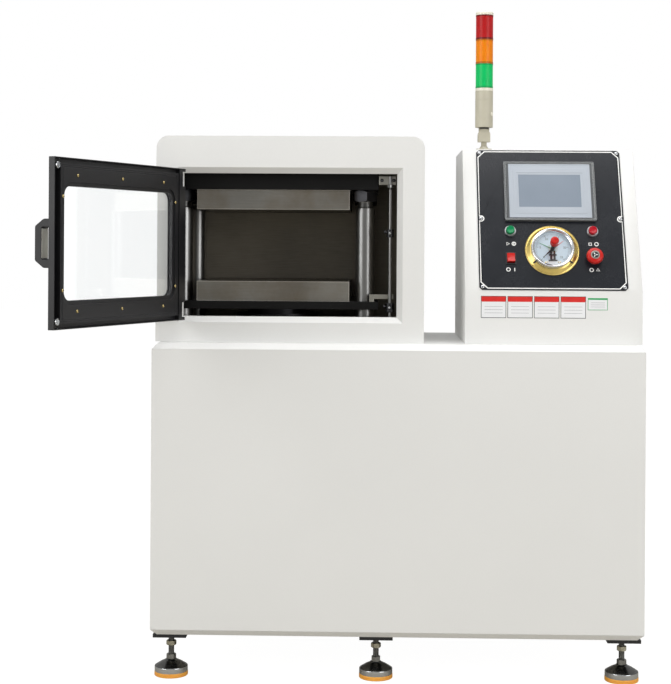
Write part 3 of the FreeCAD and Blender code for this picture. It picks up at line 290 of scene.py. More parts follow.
# Stoving paint on sheet steel: satin black, with a paler painted highlight along its edges.
SATIN_BLACK = Finish(
    "satin_black_paint", "#17171A", 0.42, drift=0.1, drift_mm=160.0, grain_mm=3.0, relief_mm=0.03,
    spread=0.06, edge_highlight=0.35, edge_highlight_colour="#55555A")
# The same paint inside the hot chamber, dulled by heat and mould release, and darker as painted
# shade.
SHADED_CHAMBER_BLACK = Finish(
    "shaded_heat_dulled_black_paint", "#0E0E0E", 0.5, drift=0.22, drift_mm=120.0, grain_mm=2.5,
    relief_mm=0.03, spread=0.1, fixed=(("Specular IOR Level", 0.2),))
# The lining sheets: the same heat has turned them a smoky brown-grey.
SMOKED_SHEET = Finish(
    "smoked_lining_sheet", "#8A8376", 0.45, metallic=0.4, drift=0.22, drift_mm=140.0, grain_mm=2.0,
    relief_mm=0.02, spread=0.1, run=(0.05, 1.0, 1.0))
# Surface-ground tool steel: lines run across the platen, straw-brown where it has been hot.
# A near-white painted highlight runs along its edges.
GROUND_STEEL = HeatTinted(
    "ground_tool_steel", "#94928C", 0.36, drift=0.12, drift_mm=160.0, grain_mm=1.6,
    relief_mm=0.006, spread=0.1, run=(0.02, 1.0, 1.0), edge_highlight=0.9, edge_highlight_colour="#F4F0E6",
    edge_highlight_mm=4.0)
# Hard chrome over a ground column: almost a mirror, with faint lines round it.
HARD_CHROME = Metal(
    "hard_chrome_plate", "#8E8E8D", 0.31, drift=0.04, drift_mm=160.0, grain_mm=1.2,
    relief_mm=0.0005, spread=0.04, run=(0.1, 0.1, 1.0))
# Bright zinc on turned and pressed steel: grey, with a broken sparkle.
ZINC_PLATE = Plated("bright_zinc_plate", "#969694", 0.30, drift=0.1)
# Yellow-passivated zinc, as on lock nuts: the same sparkle under a greenish gold.
YELLOW_ZINC = Plated("yellow_zinc_plate", "#B8B4A2", 0.34, drift=0.16, drift_mm=12.0)
# Pressed steel under thin zinc: darker than bright zinc, as painted shade on the pads' cones.
SHADED_PRESSED_ZINC = Plated("shaded_pressed_zinc_steel", "#7C7C7A", 0.24, drift=0.15, spread=0.06)
# Blackened steel: dark metal with a thin oily gloss and a painted highlight along its edges.
BLACK_OXIDE = Metal(
    "black_oxide_steel", "#3B3B3D", 0.36, drift=0.15, drift_mm=20.0, relief_mm=0.01,
    edge_highlight=0.4, edge_highlight_colour="#8C8C8E")
# Turned stainless steel: bright rings with fine tool lines.
STAINLESS = Metal(
    "turned_stainless_steel", "#C4C6C8", 0.2, drift_mm=15.0, grain_mm=0.8, relief_mm=0.003,
    spread=0.05)
# Brushed aluminium: pale grey with a satin run.
ALUMINIUM = Metal(
    "brushed_aluminium", "#A5A39B", 0.38, drift=0.06, drift_mm=30.0, grain_mm=0.8, relief_mm=0.006,
    spread=0.06, run=(1.0, 1.0, 0.05))
# Polished stainless steel, as on a gauge's bezel.
POLISHED_STEEL = Metal(
    "polished_stainless_steel", "#E4E6E8", 0.2, drift=0.03, drift_mm=20.0, grain_mm=0.8,
    relief_mm=0.001, spread=0.03)
# Satin chrome on the button bezels.
SATIN_CHROME = Metal(
    "satin_chrome", "#E6E7EA", 0.3, drift=0.03, drift_mm=12.0, grain_mm=0.8, relief_mm=0.002,
    spread=0.04)
# Lacquered spun brass: warm yellow, smooth, with a clear coat over it.
BRASS = Metal(
    "lacquered_brass", "#E8CE7C", 0.28, drift=0.08, grain_mm=1.0, relief_mm=0.004, spread=0.05,
    fixed=(("Coat Weight", 0.4), ("Coat Roughness", 0.12)))
# Brass-plated small screws.
SCREW_BRASS = Metal(
    "brass_plated_screw", "#CDB983", 0.22, drift=0.08, drift_mm=6.0, grain_mm=0.6, relief_mm=0.002,
    spread=0.04)
# Cast polyurethane: amber orange, a little waxy, so light goes into it.
POLYURETHANE = Finish(
    "cast_polyurethane", "#FFB048", 0.45, drift=0.08, drift_mm=30.0, grain_mm=2.0, relief_mm=0.03,
    fixed=(("Subsurface Weight", 0.15), ("Subsurface Scale", 0.004)))
# Moulded rubber: dull black.
RUBBER = Finish(
    "moulded_rubber", "#1C1C1C", 0.62, ior=1.52, drift=0.12, drift_mm=25.0, relief_mm=0.03)
# Glass-filled nylon: black with a fine spark-eroded grain and a faint painted highlight on its
# edges.
NYLON = Finish(
    "moulded_nylon", "#17171A", 0.48, ior=1.53, drift=0.1, drift_mm=30.0, grain_mm=1.2,
    relief_mm=0.03, edge_highlight=0.2, edge_highlight_colour="#4A4A4E")
# Polyester film over the panel plate: dark slate with a velvet grain.
PANEL_FILM = Finish(
    "velvet_polyester_film", "#191C22", 0.26, ior=1.57, drift_mm=90.0, relief_mm=0.012,
    spread=0.05, fixed=(("Specular IOR Level", 0.34),))
# Screen-printed ink.
WHITE_INK = Finish("white_screen_ink", "#F2F2EF", 0.5, drift=0.03, drift_mm=8.0, grain_mm=1.0)
BLACK_INK = Finish("black_screen_ink", "#1A1B1D", 0.5, drift=0.1, drift_mm=8.0, grain_mm=1.0)
RED_INK = Finish("red_screen_ink", "#D8251F", 0.42, grain_mm=1.0)
GREEN_INK = Finish("green_screen_ink", "#1FA35C", 0.42, grain_mm=1.0)
GREY_INK = Finish("grey_screen_ink", "#8A8D92", 0.45, grain_mm=1.0)
# Self-adhesive vinyl film: white with a clear over-laminate.
VINYL = Finish(
    "label_vinyl", "#EDEEF0", 0.3, drift=0.02, drift_mm=40.0, grain_mm=2.0,
    fixed=(("Coat Weight", 0.2),))
# Die-cast operator terminal: grey paint with a paler painted highlight along its edges.
TERMINAL_GREY = Finish(
    "grey_terminal_paint", "#55585A", 0.38, drift=0.06, drift_mm=60.0, grain_mm=1.2,
    relief_mm=0.015, edge_highlight=0.9, edge_highlight_colour="#C2C4C4")
# The terminal's silver-blue front film.
SILVER_FILM = Finish(
    "silver_membrane_film", "#A6ADB6", 0.36, ior=1.57, drift=0.03, drift_mm=120.0, grain_mm=1.2,
    relief_mm=0.008, spread=0.03)
# Unlit liquid crystal display behind its touch film: blue-grey and smooth.
DISPLAY = Finish(
    "unlit_liquid_crystal", "#7E8996", 0.22, ior=1.52, drift_mm=90.0, grain_mm=0.8,
    relief_mm=0.002, spread=0.02, fixed=(("Coat Weight", 0.3),))
# Enamelled dial plate: pale blue-white.
DIAL_ENAMEL = Finish(
    "dial_enamel", "#D3E0EC", 0.35, drift=0.04, drift_mm=30.0, grain_mm=2.0, relief_mm=0.006)
# Injection-moulded gloss plastics of the push buttons: deep colour under a hard shine.
DEEP = (("Subsurface Weight", 0.08), ("Subsurface Scale", 0.003), ("Specular IOR Level", 0.3))
RED_BUTTON = Finish("red_acetal", "#AC0E20", 0.2, ior=1.48, relief_mm=0.004, fixed=DEEP)
SIGNAL_RED = Finish("signal_red_nylon", "#BE1C14", 0.28, ior=1.53, relief_mm=0.006, fixed=DEEP)
GREEN_BUTTON = Finish(
    "green_acetal", "#04804C", 0.2, ior=1.48, drift=0.06, relief_mm=0.004, fixed=DEEP)
# Warm grey ABS of the tower lamp: matt, with a fine moulding grain.
LAMP_ABS = Finish("warm_grey_abs", "#BEB9A6", 0.46, ior=1.53, drift_mm=30.0, relief_mm=0.02)
LAMP_CAP_ABS = Finish(
    "ivory_abs", "#E6E2D2", 0.42, ior=1.53, drift=0.03, drift_mm=30.0, relief_mm=0.02)
# Tinted polycarbonate: coloured light comes through it, and its skin is glossy.
TINTED = (("Transmission Weight", 0.15), ("Subsurface Weight", 0.3), ("Subsurface Scale", 0.012),
          ("Specular IOR Level", 0.25))
LENS_RED = Finish(
    "red_polycarbonate", "#C4171B", 0.36, ior=1.58, drift=0.1, drift_mm=22.0, grain_mm=2.0,
    fixed=TINTED)
LENS_ORANGE = Finish(
    "orange_polycarbonate", "#FF9200", 0.36, ior=1.58, drift_mm=22.0, grain_mm=2.0, fixed=TINTED)
LENS_GREEN = Finish(
    "green_polycarbonate", "#00D271", 0.36, ior=1.58, drift=0.06, drift_mm=22.0, grain_mm=2.0,
    fixed=TINTED)
# Toughened float glass: clear, with the faintest smear.
FLOAT_GLASS = Finish(
    "float_glass", "#FDFFFF", 0.015, ior=1.52, drift=0.005, drift_mm=120.0, grain_mm=30.0,
    relief_mm=0.0005, spread=0.012,
    fixed=(("Transmission Weight", 1.0), ("Specular IOR Level", 0.14)))
# Machine enamel over cast iron and plate: grey with brush-like levelling.
GREY_ENAMEL = Finish(
    "grey_machine_enamel", "#6A7075", 0.34, drift=0.08, drift_mm=60.0, grain_mm=4.0,
    relief_mm=0.05)
# Steatite ceramic of the heater ends.
CERAMIC = Finish(
    "steatite_ceramic", "#DAD3C4", 0.55, ior=1.6, drift=0.06, drift_mm=10.0, grain_mm=1.0,
    relief_mm=0.02)


# ---- places

class Box(NamedTuple):
    """The lowest and highest corners of something, in millimetres."""

    low: Vector
    high: Vector

    @property
    def centre(self) -> Vector:
        """The middle of the box."""
        return (self.low + self.high) / 2

    @property
    def size(self) -> Vector:
        """The length, width and height of the box."""
        return self.high - self.low


def box_of(points: Iterable[Vector]) -> Box:
    """Finds the box that holds a set of points."""
    columns = list(zip(*points))
    return Box(Vector([min(column) for column in columns]),
               Vector([max(column) for column in columns]))


@dataclass
class Place:
    """The frame that a sub-assembly is modelled in, with the millimetre as its unit."""

    matrix: Matrix

    def extent(self, node: str) -> Box:
        """The box of a CAD node along this frame's own axes."""
        inverse = self.matrix.inverted()
        return box_of(inverse @ vertex.co for vertex in frame["nodes"][node].data.vertices)

    def solids(self, node: str) -> list[Box]:
        """Where each separate solid of a CAD node lies in this frame.

        Args:
            node: the node's name.

        Returns:
            One box for each solid, from left to right, front to back and up.
        """
        inverse = self.matrix.inverted()
        shape = bmesh.new()
        shape.from_mesh(frame["nodes"][node].data)
        bmesh.ops.remove_doubles(shape, verts=shape.verts, dist=MM / 100)
        waiting = set(shape.verts)
        boxes = []
        while waiting:
            island, edge = set(), [waiting.pop()]
            while edge:
                vertex = edge.pop()
                island.add(vertex)
                near = {link.other_vert(vertex) for link in vertex.link_edges} & waiting
                waiting -= near
                edge.extend(near)
            boxes.append(box_of(inverse @ vertex.co for vertex in island))
        shape.free()
        return sorted(boxes, key=lambda box: tuple(round(part) for part in box.low))


def joint(name: str) -> dict:
    """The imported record's entry of a joint."""
    return next(entry for entry in frame["joints"] if entry["name"] == name)


def machine_place() -> Place:
    """The cabinet's frame: zero at the middle of its front foot line, on the floor."""
    low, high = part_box("table_top")
    return Place(at((low.x + high.x) / 2, low.y) @ Matrix.Scale(MM, 4))


def door_place() -> Place:
    """The door's frame: zero on the hinge line at the floor, X across the open door.

    Returns:
        The frame.
    """
    hinge = joint("door_hinge")
    x, y, _ = hinge["pos_m"]
    turn = Matrix.Rotation(-math.radians(hinge["range_deg"][1]), 4, "Z")
    return Place(at(x, y) @ turn @ Matrix.Scale(MM, 4))


def panel_place() -> Place:
    """The sloped panel's frame: zero on the gauge's axis at the slope, Z straight out.

    Returns:
        The frame.
    """
    turn = joint("pointer_turn")
    outward = -Vector(turn["axis"])
    across = Vector(RIGHT)
    axes = Matrix((across, outward.cross(across), outward)).transposed().to_4x4()
    pointer_height = 12.0
    return Place(Matrix.Translation(Vector(turn["pos_m"]) - outward * pointer_height * MM)
                 @ axes @ Matrix.Scale(MM, 4))


def lamp_place() -> Place:
    """The tower lamp's frame: zero on the console top, under the lamp's fold.

    Returns:
        The frame.
    """
    fold_height = 37.0
    position = Vector(joint("lamp_fold")["pos_m"]) - Vector(UP) * fold_height * MM
    return Place(Matrix.Translation(position) @ Matrix.Scale(MM, 4))


def towards(point: Point, direction: Point = UP, spin: float = 0.0) -> Matrix:
    """Stands something upright on a point, facing a way and spun by degrees."""
    facing_it = Vector(direction).to_track_quat("Z", "Y").to_matrix().to_4x4()
    return Matrix.Translation(point) @ facing_it @ Matrix.Rotation(math.radians(spin), 4, "Z")


def at(x: float, y: float, z: float = 0.0) -> Matrix:
    """Moves something to a point without turning it."""
    return Matrix.Translation((x, y, z))


def around(count: int, radius: float, start: float = 0.0, span: float = 360.0) -> list[Matrix]:
    """Places on a circle, each with its Y pointing outwards, over a span in degrees."""
    step = span / (count if span >= 360 else count - 1)
    return [Matrix.Rotation(math.radians(start + number * step - 90), 4, "Z") @ at(0, radius)
            for number in range(count)]


# ---- the workbench

class Grip(Enum):
    """What an edit tool takes hold of."""

    POINTS = "VERT"
    EDGES = "EDGE"
    FACES = "FACE"


class Cut(Enum):
    """How a tool piece acts on a workpiece."""

    AWAY = "DIFFERENCE"
    COMMON = "INTERSECT"


def facing(direction: Point) -> Test:
    """A test for faces whose normal points in a direction."""
    wanted = Vector(direction)
    return lambda centre, normal: normal.dot(wanted) > ALONG


def at_height(height: float) -> Test:
    """A test for faces that face up or down at one height."""
    return lambda centre, normal: abs(centre.z - height) < LEVEL and abs(normal.z) > ALONG


def anything(centre: Vector, normal: Vector) -> bool:
    """A test that everything passes."""
    return True


def arc(centre: Point, radius: float, start: float, end: float, steps: int = 6) -> list:
    """Points of an arc for a profile, from one angle to another in degrees."""
    angles = [math.radians(start + (end - start) * step / steps) for step in range(steps + 1)]
    return [(centre[0] + radius * math.cos(angle), centre[1] + radius * math.sin(angle))
            for angle in angles]


def thread(radius: float, depth: float, pitch: float, low: float, high: float) -> list:
    """Points of a thread's flanks for a profile.

    Args:
        radius: the outer radius.
        depth: how deep the flanks go.
        pitch: the distance from crest to crest.
        low: where it starts.
        high: where it ends.

    Returns:
        The points as radius and height.
    """
    turns = int((high - low) / pitch)
    points = []
    for turn in range(turns):
        foot = low + turn * pitch
        points += [(radius - depth, foot + 0.1 * pitch), (radius, foot + 0.5 * pitch),
                   (radius, foot + 0.65 * pitch)]
    return points + [(radius - depth, low + turns * pitch)]


def deselect_all() -> None:
    """Leaves edit mode and lets go of everything."""
    if bpy.context.mode != "OBJECT":
        bpy.ops.object.mode_set(mode="OBJECT")
    bpy.ops.object.select_all(action="DESELECT")


class Piece:
    """A workpiece on the bench, in millimetres, and the tools that shape it.

    Each tool gives the workpiece back, so that the steps of a piece follow one another.
    """

    def __init__(self, name: str) -> None:
        """Takes up the object that was just added."""
        self.thing = bpy.context.active_object
        self.thing.name = name

    # -- blanks

    @classmethod
    def block(cls, name: str, low: Point, high: Point) -> Self:
        """Saws a block from corner to corner.

        Args:
            name: the piece's name.
            low: its lowest corner.
            high: its highest corner.

        Returns:
            The blank.
        """
        deselect_all()
        middle = [(start + end) / 2 for start, end in zip(low, high)]
        bpy.ops.mesh.primitive_cube_add(
            size=1.0, location=middle, scale=[end - start for start, end in zip(low, high)])
        return cls(name).settle()

    @classmethod
    def tablet(cls, name: str, low: Point, high: Point, radius: float, along: Point = UP,
               steps: int = 6) -> Self:
        """Saws a block and rounds the four corners that run along one direction.

        Args:
            name: the piece's name.
            low: its lowest corner.
            high: its highest corner.
            radius: the corners' radius.
            along: the direction that the rounded corners run in.
            steps: how many runs each corner has.

        Returns:
            The tablet.
        """
        way = Vector(along)
        tablet = cls.block(name, low, high)
        tablet.pick(Grip.EDGES, lambda centre, line: abs(line.dot(way)) > ALONG)
        return tablet.bevel(radius, steps).release()

    @classmethod
    def turned(cls, name: str, profile: Profile, sides: int = 48, bore: bool = False,
               spin: float = 0.0) -> Self:
        """Turns a profile on the lathe: a ring is drawn out and sized step by step.

        Args:
            name: the piece's name.
            profile: points as radius and height, from the first ring to the last.
            sides: how many sides the ring has; six make a hexagon.
            bore: joins the last ring to the first, for a piece with a hole through it.
            spin: the ring's own turn, in degrees.

        Returns:
            The turned piece, closed.
        """
        deselect_all()
        radius, height = profile[0]
        bpy.ops.mesh.primitive_circle_add(
            vertices=sides, radius=radius, location=(0, 0, height), fill_type="NOTHING",
            rotation=(0, 0, math.radians(spin)))
        piece = cls(name).settle().pick(Grip.EDGES)
        for (near, low), (far, high) in zip(profile, profile[1:]):
            piece.extrude((0, 0, high - low))
            piece.resize((far / near, far / near, 1), (0, 0, high))
        piece.pick(Grip.EDGES)
        if bore:
            bpy.ops.mesh.select_non_manifold(extend=False)
            bpy.ops.mesh.bridge_edge_loops()
        else:
            bpy.ops.mesh.fill_holes(sides=0)
        return piece.mend()

    @classmethod
    def wire(cls, name: str, points: Sequence[Point], radius: float, closed: bool = False,
             flatten: float = 1.0) -> Self:
        """Bends a wire along points.

        Args:
            name: the piece's name.
            points: where it runs.
            radius: half its thickness.
            closed: joins its ends.
            flatten: how much of its height it keeps, for a printed line.

        Returns:
            The wire as a mesh.
        """
        deselect_all()
        bpy.ops.mesh.primitive_circle_add(vertices=3, radius=1.0)
        piece = cls(name).pick(Grip.POINTS)
        bpy.ops.mesh.merge(type="CENTER")
        piece.pick(Grip.POINTS).move(points[0])
        for start, end in zip(points, points[1:]):
            piece.extrude(Vector(end) - Vector(start))
        if closed:
            piece.extrude(Vector(points[0]) - Vector(points[-1])).pick(Grip.POINTS)
            bpy.ops.mesh.remove_doubles(threshold=2 * SAME_POINT)
        deselect_all()
        piece.activate()
        bpy.ops.object.convert(target="CURVE")
        curve = bpy.context.active_object
        curve.data.bevel_depth = radius
        curve.data.bevel_resolution = 1
        curve.data.use_fill_caps = True
        bpy.ops.object.convert(target="MESH")
        piece = cls(name)
        if flatten != 1.0:
            piece.pick(Grip.FACES).resize((1, 1, flatten), (0, 0, points[0][2]))
        return piece.mend()

    @classmethod
    def lettered(cls, name: str, text: str, size: float, depth: float) -> Self:
        """Cuts plain numerals out of sheet, centred on zero.

        Args:
            name: the piece's name.
            text: the numerals.
            size: their height.
            depth: the sheet's thickness.

        Returns:
            The numerals as a mesh.
        """
        deselect_all()
        bpy.ops.object.text_add()
        letters = bpy.context.active_object.data
        letters.body, letters.size, letters.extrude = text, size, depth / 2
        letters.align_x, letters.align_y = "CENTER", "CENTER"
        bpy.ops.object.convert(target="MESH")
        return cls(name)

    @classmethod
    def refined(cls, node: str, place: Place, radius: float, steps: int = 2) -> Self:
        """Takes a copy of a CAD node to the bench and breaks its sharp edges.

        Args:
            node: the node's name.
            place: the frame that the copy is worked in.
            radius: the size of the broken edge.
            steps: how many runs the rounding has.

        Returns:
            The copy, with its edges rounded.
        """
        deselect_all()
        copy = bpy.data.objects.new(node + "_finished", frame["nodes"][node].data.copy())
        bpy.context.scene.collection.objects.link(copy)
        copy.data.materials.clear()
        copy.data.transform(place.matrix.inverted())
        bpy.context.view_layer.objects.active = copy
        copy.select_set(True)
        bpy.ops.mesh.customdata_custom_splitnormals_clear()
        piece = cls(copy.name).pick(Grip.FACES)
        bpy.ops.mesh.remove_doubles(threshold=4 * SAME_POINT)
        return piece.rounded(radius, steps) if radius else piece.release()

    # -- holding

    def activate(self) -> Self:
        """Makes this piece the one that is worked on.

        Returns:
            The workpiece.
        """
        bpy.context.view_layer.objects.active = self.thing
        self.thing.select_set(True)
        return self

    def release(self) -> Self:
        """Leaves edit mode with only this piece taken up."""
        deselect_all()
        return self.activate()

    def settle(self) -> Self:
        """Puts the piece's place, turn and size into its mesh.

        Returns:
            The workpiece.
        """
        self.release()
        bpy.ops.object.transform_apply(location=True, rotation=True, scale=True)
        return self

    def pick(self, grip: Grip, test: Test = anything) -> Self:
        """Selects what the next tool works on.

        Args:
            grip: points, edges or faces.
            test: gets a middle, and a normal or an edge's direction, and says whether to
                take it.

        Returns:
            The workpiece.
        """
        if bpy.context.mode != "EDIT_MESH" or bpy.context.active_object is not self.thing:
            self.release()
            bpy.ops.object.mode_set(mode="EDIT")
        bpy.ops.mesh.select_mode(type=grip.value)
        bpy.ops.mesh.select_all(action="DESELECT")
        shape = bmesh.from_edit_mesh(self.thing.data)
        shape.normal_update()
        if grip is Grip.FACES:
            rows = [(face, face.calc_center_median(), face.normal) for face in shape.faces]
        elif grip is Grip.EDGES:
            rows = [(edge, (edge.verts[0].co + edge.verts[1].co) / 2,
                     (edge.verts[1].co - edge.verts[0].co).normalized()) for edge in shape.edges]
        else:
            rows = [(vertex, vertex.co, vertex.normal) for vertex in shape.verts]
        for item, centre, normal in rows:
            if test(centre, normal):
                item.select_set(True)
        shape.select_flush_mode()
        bmesh.update_edit_mesh(self.thing.data)
        return self

    # -- edit tools

    def extrude(self, way: Point) -> Self:
        """Draws out what is picked."""
        bpy.ops.mesh.extrude_region_move(TRANSFORM_OT_translate={"value": tuple(way)})
        return self

    def move(self, way: Point) -> Self:
        """Shifts what is picked."""
        bpy.ops.transform.translate(value=tuple(way))
        return self

    def resize(self, factors: Point, about: Point) -> Self:
        """Sizes what is picked about a point."""
        bpy.ops.transform.resize(value=tuple(factors), center_override=tuple(about))
        return self

    def inset(self, width: float, depth: float = 0.0, each: bool = False) -> Self:
        """Insets the picked faces, and raises or sinks them."""
        bpy.ops.mesh.inset(thickness=width, depth=depth, use_individual=each)
        return self

    def bevel(self, width: float, steps: int) -> Self:
        """Rounds the picked edges."""
        bpy.ops.mesh.bevel(offset=width, segments=steps, affect="EDGES")
        return self

    def mend(self) -> Self:
        """Merges doubles and turns every face outwards.

        Returns:
            The workpiece.
        """
        self.pick(Grip.FACES)
        bpy.ops.mesh.remove_doubles(threshold=SAME_POINT)
        bpy.ops.mesh.normals_make_consistent(inside=False)
        return self.release()

    # -- whole-piece tools

    def modify(self, kind: str, **settings: object) -> Self:
        """Applies one modifier.

        Args:
            kind: the modifier's type.
            settings: its properties.

        Returns:
            The workpiece.
        """
        self.release()
        modifier = self.thing.modifiers.new(kind.lower(), kind)
        for name, value in settings.items():
            setattr(modifier, name, value)
        bpy.ops.object.modifier_apply(modifier=modifier.name)
        return self

    def rounded(self, radius: float, steps: int = 2) -> Self:
        """Rounds every sharp edge."""
        return self.modify(
            "BEVEL", width=radius, segments=steps, limit_method="ANGLE", angle_limit=SHARP_TURN,
            miter_outer="MITER_ARC", face_strength_mode="FSTR_ALL")

    def ruled(self, lines: Iterable[tuple[Sequence[float], Sequence[float]]]) -> Self:
        """Splits the faces along planes, so that no long sliver runs past a hole.

        Args:
            lines: a point of each plane, and the way that the plane faces.

        Returns:
            The workpiece.
        """
        self.pick(Grip.FACES)
        for point, facing in lines:
            bpy.ops.mesh.select_all(action="SELECT")
            bpy.ops.mesh.bisect(plane_co=point, plane_no=facing)
        bpy.ops.mesh.select_all(action="SELECT")
        bpy.ops.mesh.quads_convert_to_tris()
        bpy.ops.mesh.beautify_fill(angle_limit=FLAT_TURN)
        return self.release()

    def carve(self, tool: Self, cut: Cut = Cut.AWAY) -> Self:
        """Cuts this piece with another, which is used up.

        Args:
            tool: the cutting piece.
            cut: whether it takes away, or keeps what both hold.

        Returns:
            The workpiece.
        """
        self.modify("BOOLEAN", object=tool.thing, operation=cut.value, solver="EXACT")
        bpy.data.objects.remove(tool.thing)
        return self

    def twin(self, name: str, matrix: Matrix) -> Self:
        """Makes a copy with a mesh of its own, at another place.

        Args:
            name: the copy's name.
            matrix: where it goes.

        Returns:
            The copy.
        """
        self.release()
        bpy.ops.object.duplicate(linked=False)
        copy = Piece(name)
        copy.thing.matrix_world = matrix
        return copy.settle()

    def copied(self, places: Iterable[Matrix]) -> Self:
        """Sets a copy at each place, as one piece.

        Args:
            places: where the copies go.

        Returns:
            The workpiece, which is all the copies.
        """
        name = self.thing.name
        copies = [self.twin(name + "_copy", place) for place in places]
        bpy.data.objects.remove(self.thing)
        return copies[0].joined(copies[1:], name)

    def joined(self, others: Iterable[Self], name: str = "") -> Self:
        """Makes one piece of this and others.

        Args:
            others: the pieces that it takes in.
            name: its name afterwards.

        Returns:
            The workpiece.
        """
        deselect_all()
        for other in others:
            other.thing.select_set(True)
        self.activate()
        bpy.ops.object.join()
        self.thing.name = name or self.thing.name
        return self

    def placed(self, matrix: Matrix) -> Self:
        """Moves the whole piece.

        Args:
            matrix: the move.

        Returns:
            The workpiece.
        """
        self.release()
        self.thing.matrix_world = matrix @ self.thing.matrix_world
        return self.settle()

    def seat(self, place: Place, smooth: float) -> bpy.types.Object:
        """Shades the piece and takes it from the bench to the machine.

        Args:
            place: the frame that it was modelled in.
            smooth: edges flatter than this many degrees are shaded as one surface.

        Returns:
            The finished object, with its place in its mesh.
        """
        self.release()
        bpy.ops.object.shade_smooth_by_angle(angle=math.radians(smooth))
        self.modify("WEIGHTED_NORMAL", keep_sharp=True, use_face_influence=True)
        self.thing.matrix_world = place.matrix
        return self.settle().thing


# ---- shared parts

class Drive(Enum):
    """The recess in a screw's head."""

    CROSS = "cross"
    SLOT = "slot"
    HEX = "hex"


@dataclass(frozen=True)
class Screw:
    """A screw head that stands on the plane it holds down."""

    radius: float
    height: float
    drive: Drive = Drive.CROSS

    def made(self, name: str) -> Piece:
        """Turns the head and cuts its recess.

        Args:
            name: the piece's name.

        Returns:
            One head, standing on zero.
        """
        radius, height = self.radius, self.height
        crown = [(radius * share, height * rise) for share, rise in
                 ((1.0, 0.0), (1.0, 0.35), (0.93, 0.62), (0.76, 0.85), (0.45, 0.97), (0.15, 1.0))]
        head = Piece.turned(name, crown, sides=24)
        width, reach, floor = radius * 0.13, radius * 0.62, height * 0.45
        if self.drive is Drive.HEX:
            key = [(radius * 0.5, floor), (radius * 0.5, height + 1)]
            return head.carve(Piece.turned("key", key, sides=6))
        if self.drive is Drive.SLOT:
            reach = radius * 1.1
        head.carve(Piece.block("key", (-reach, -width, floor), (reach, width, height + 1)))
        if self.drive is Drive.CROSS:
            head.carve(Piece.block("key", (-width, -reach, floor), (width, reach, height + 1)))
        return head


def hexagon_nut(name: str, flats: float, height: float, bore: float) -> Piece:
    """Makes a hexagon nut with its corners turned off on both faces.

    Args:
        name: the piece's name.
        flats: the width across the flats.
        height: its height.
        bore: its bore's radius.

    Returns:
        One nut, standing on zero, with its corners along X.
    """
    corner, chamfer = flats / math.sqrt(3), flats * 0.045
    nut = Piece.turned(name, [(corner, 0), (corner, height)], sides=6, spin=30)
    nut.carve(Piece.turned("lathe", [
        (flats / 2 - 0.2, 0), (corner + 0.1, chamfer * 1.6),
        (corner + 0.1, height - chamfer * 1.6), (flats / 2 - 0.2, height)], sides=64), Cut.COMMON)
    return nut.carve(Piece.turned("drill", [
        (bore * 1.12, -1), (bore * 1.12, 0), (bore, bore * 0.12), (bore, height - bore * 0.12),
        (bore * 1.12, height), (bore * 1.12, height + 1)], sides=32))


@dataclass
class Assembly:
    """What every sub-assembly does: it keeps its pieces and says so."""

    place: Place = field(default_factory=machine_place)

    def box(self, node: str) -> Box:
        """The box of a CAD node in this sub-assembly's frame."""
        return self.place.extent(node)

    def keep(self, piece: Piece, finish: Finish, slot: str, body: str = "machine",
             replaces: Sequence[str] = (), smooth: float = 40.0) -> bpy.types.Object:
        """Finishes a piece and hangs it on its body.

        Args:
            piece: what comes off the bench.
            finish: its surface.
            slot: the record's material slot; not used.
            body: the CAD body that it moves with.
            replaces: the CAD nodes that it stands for.
            smooth: the angle below which its edges are shaded as one surface.

        Returns:
            The object.
        """
        thing = piece.seat(self.place, smooth)
        thing.data.materials.clear()
        thing.data.materials.append(finish.material())
        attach(thing, body)
        if replaces:
            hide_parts(*replaces)
        LOG.info("%s: %s on %s, %d faces", thing.name, finish.name, body, len(thing.data.polygons))
        return thing

    def refine(self, node: str, radius: float, finish: Finish, slot: str, body: str = "machine",
               steps: int = 2) -> bpy.types.Object:
        """Keeps a CAD node's shape with its edges broken."""
        piece = Piece.refined(node, self.place, radius, steps)
        return self.keep(piece, finish, slot, body, [node])


# ---- cabinet and feet

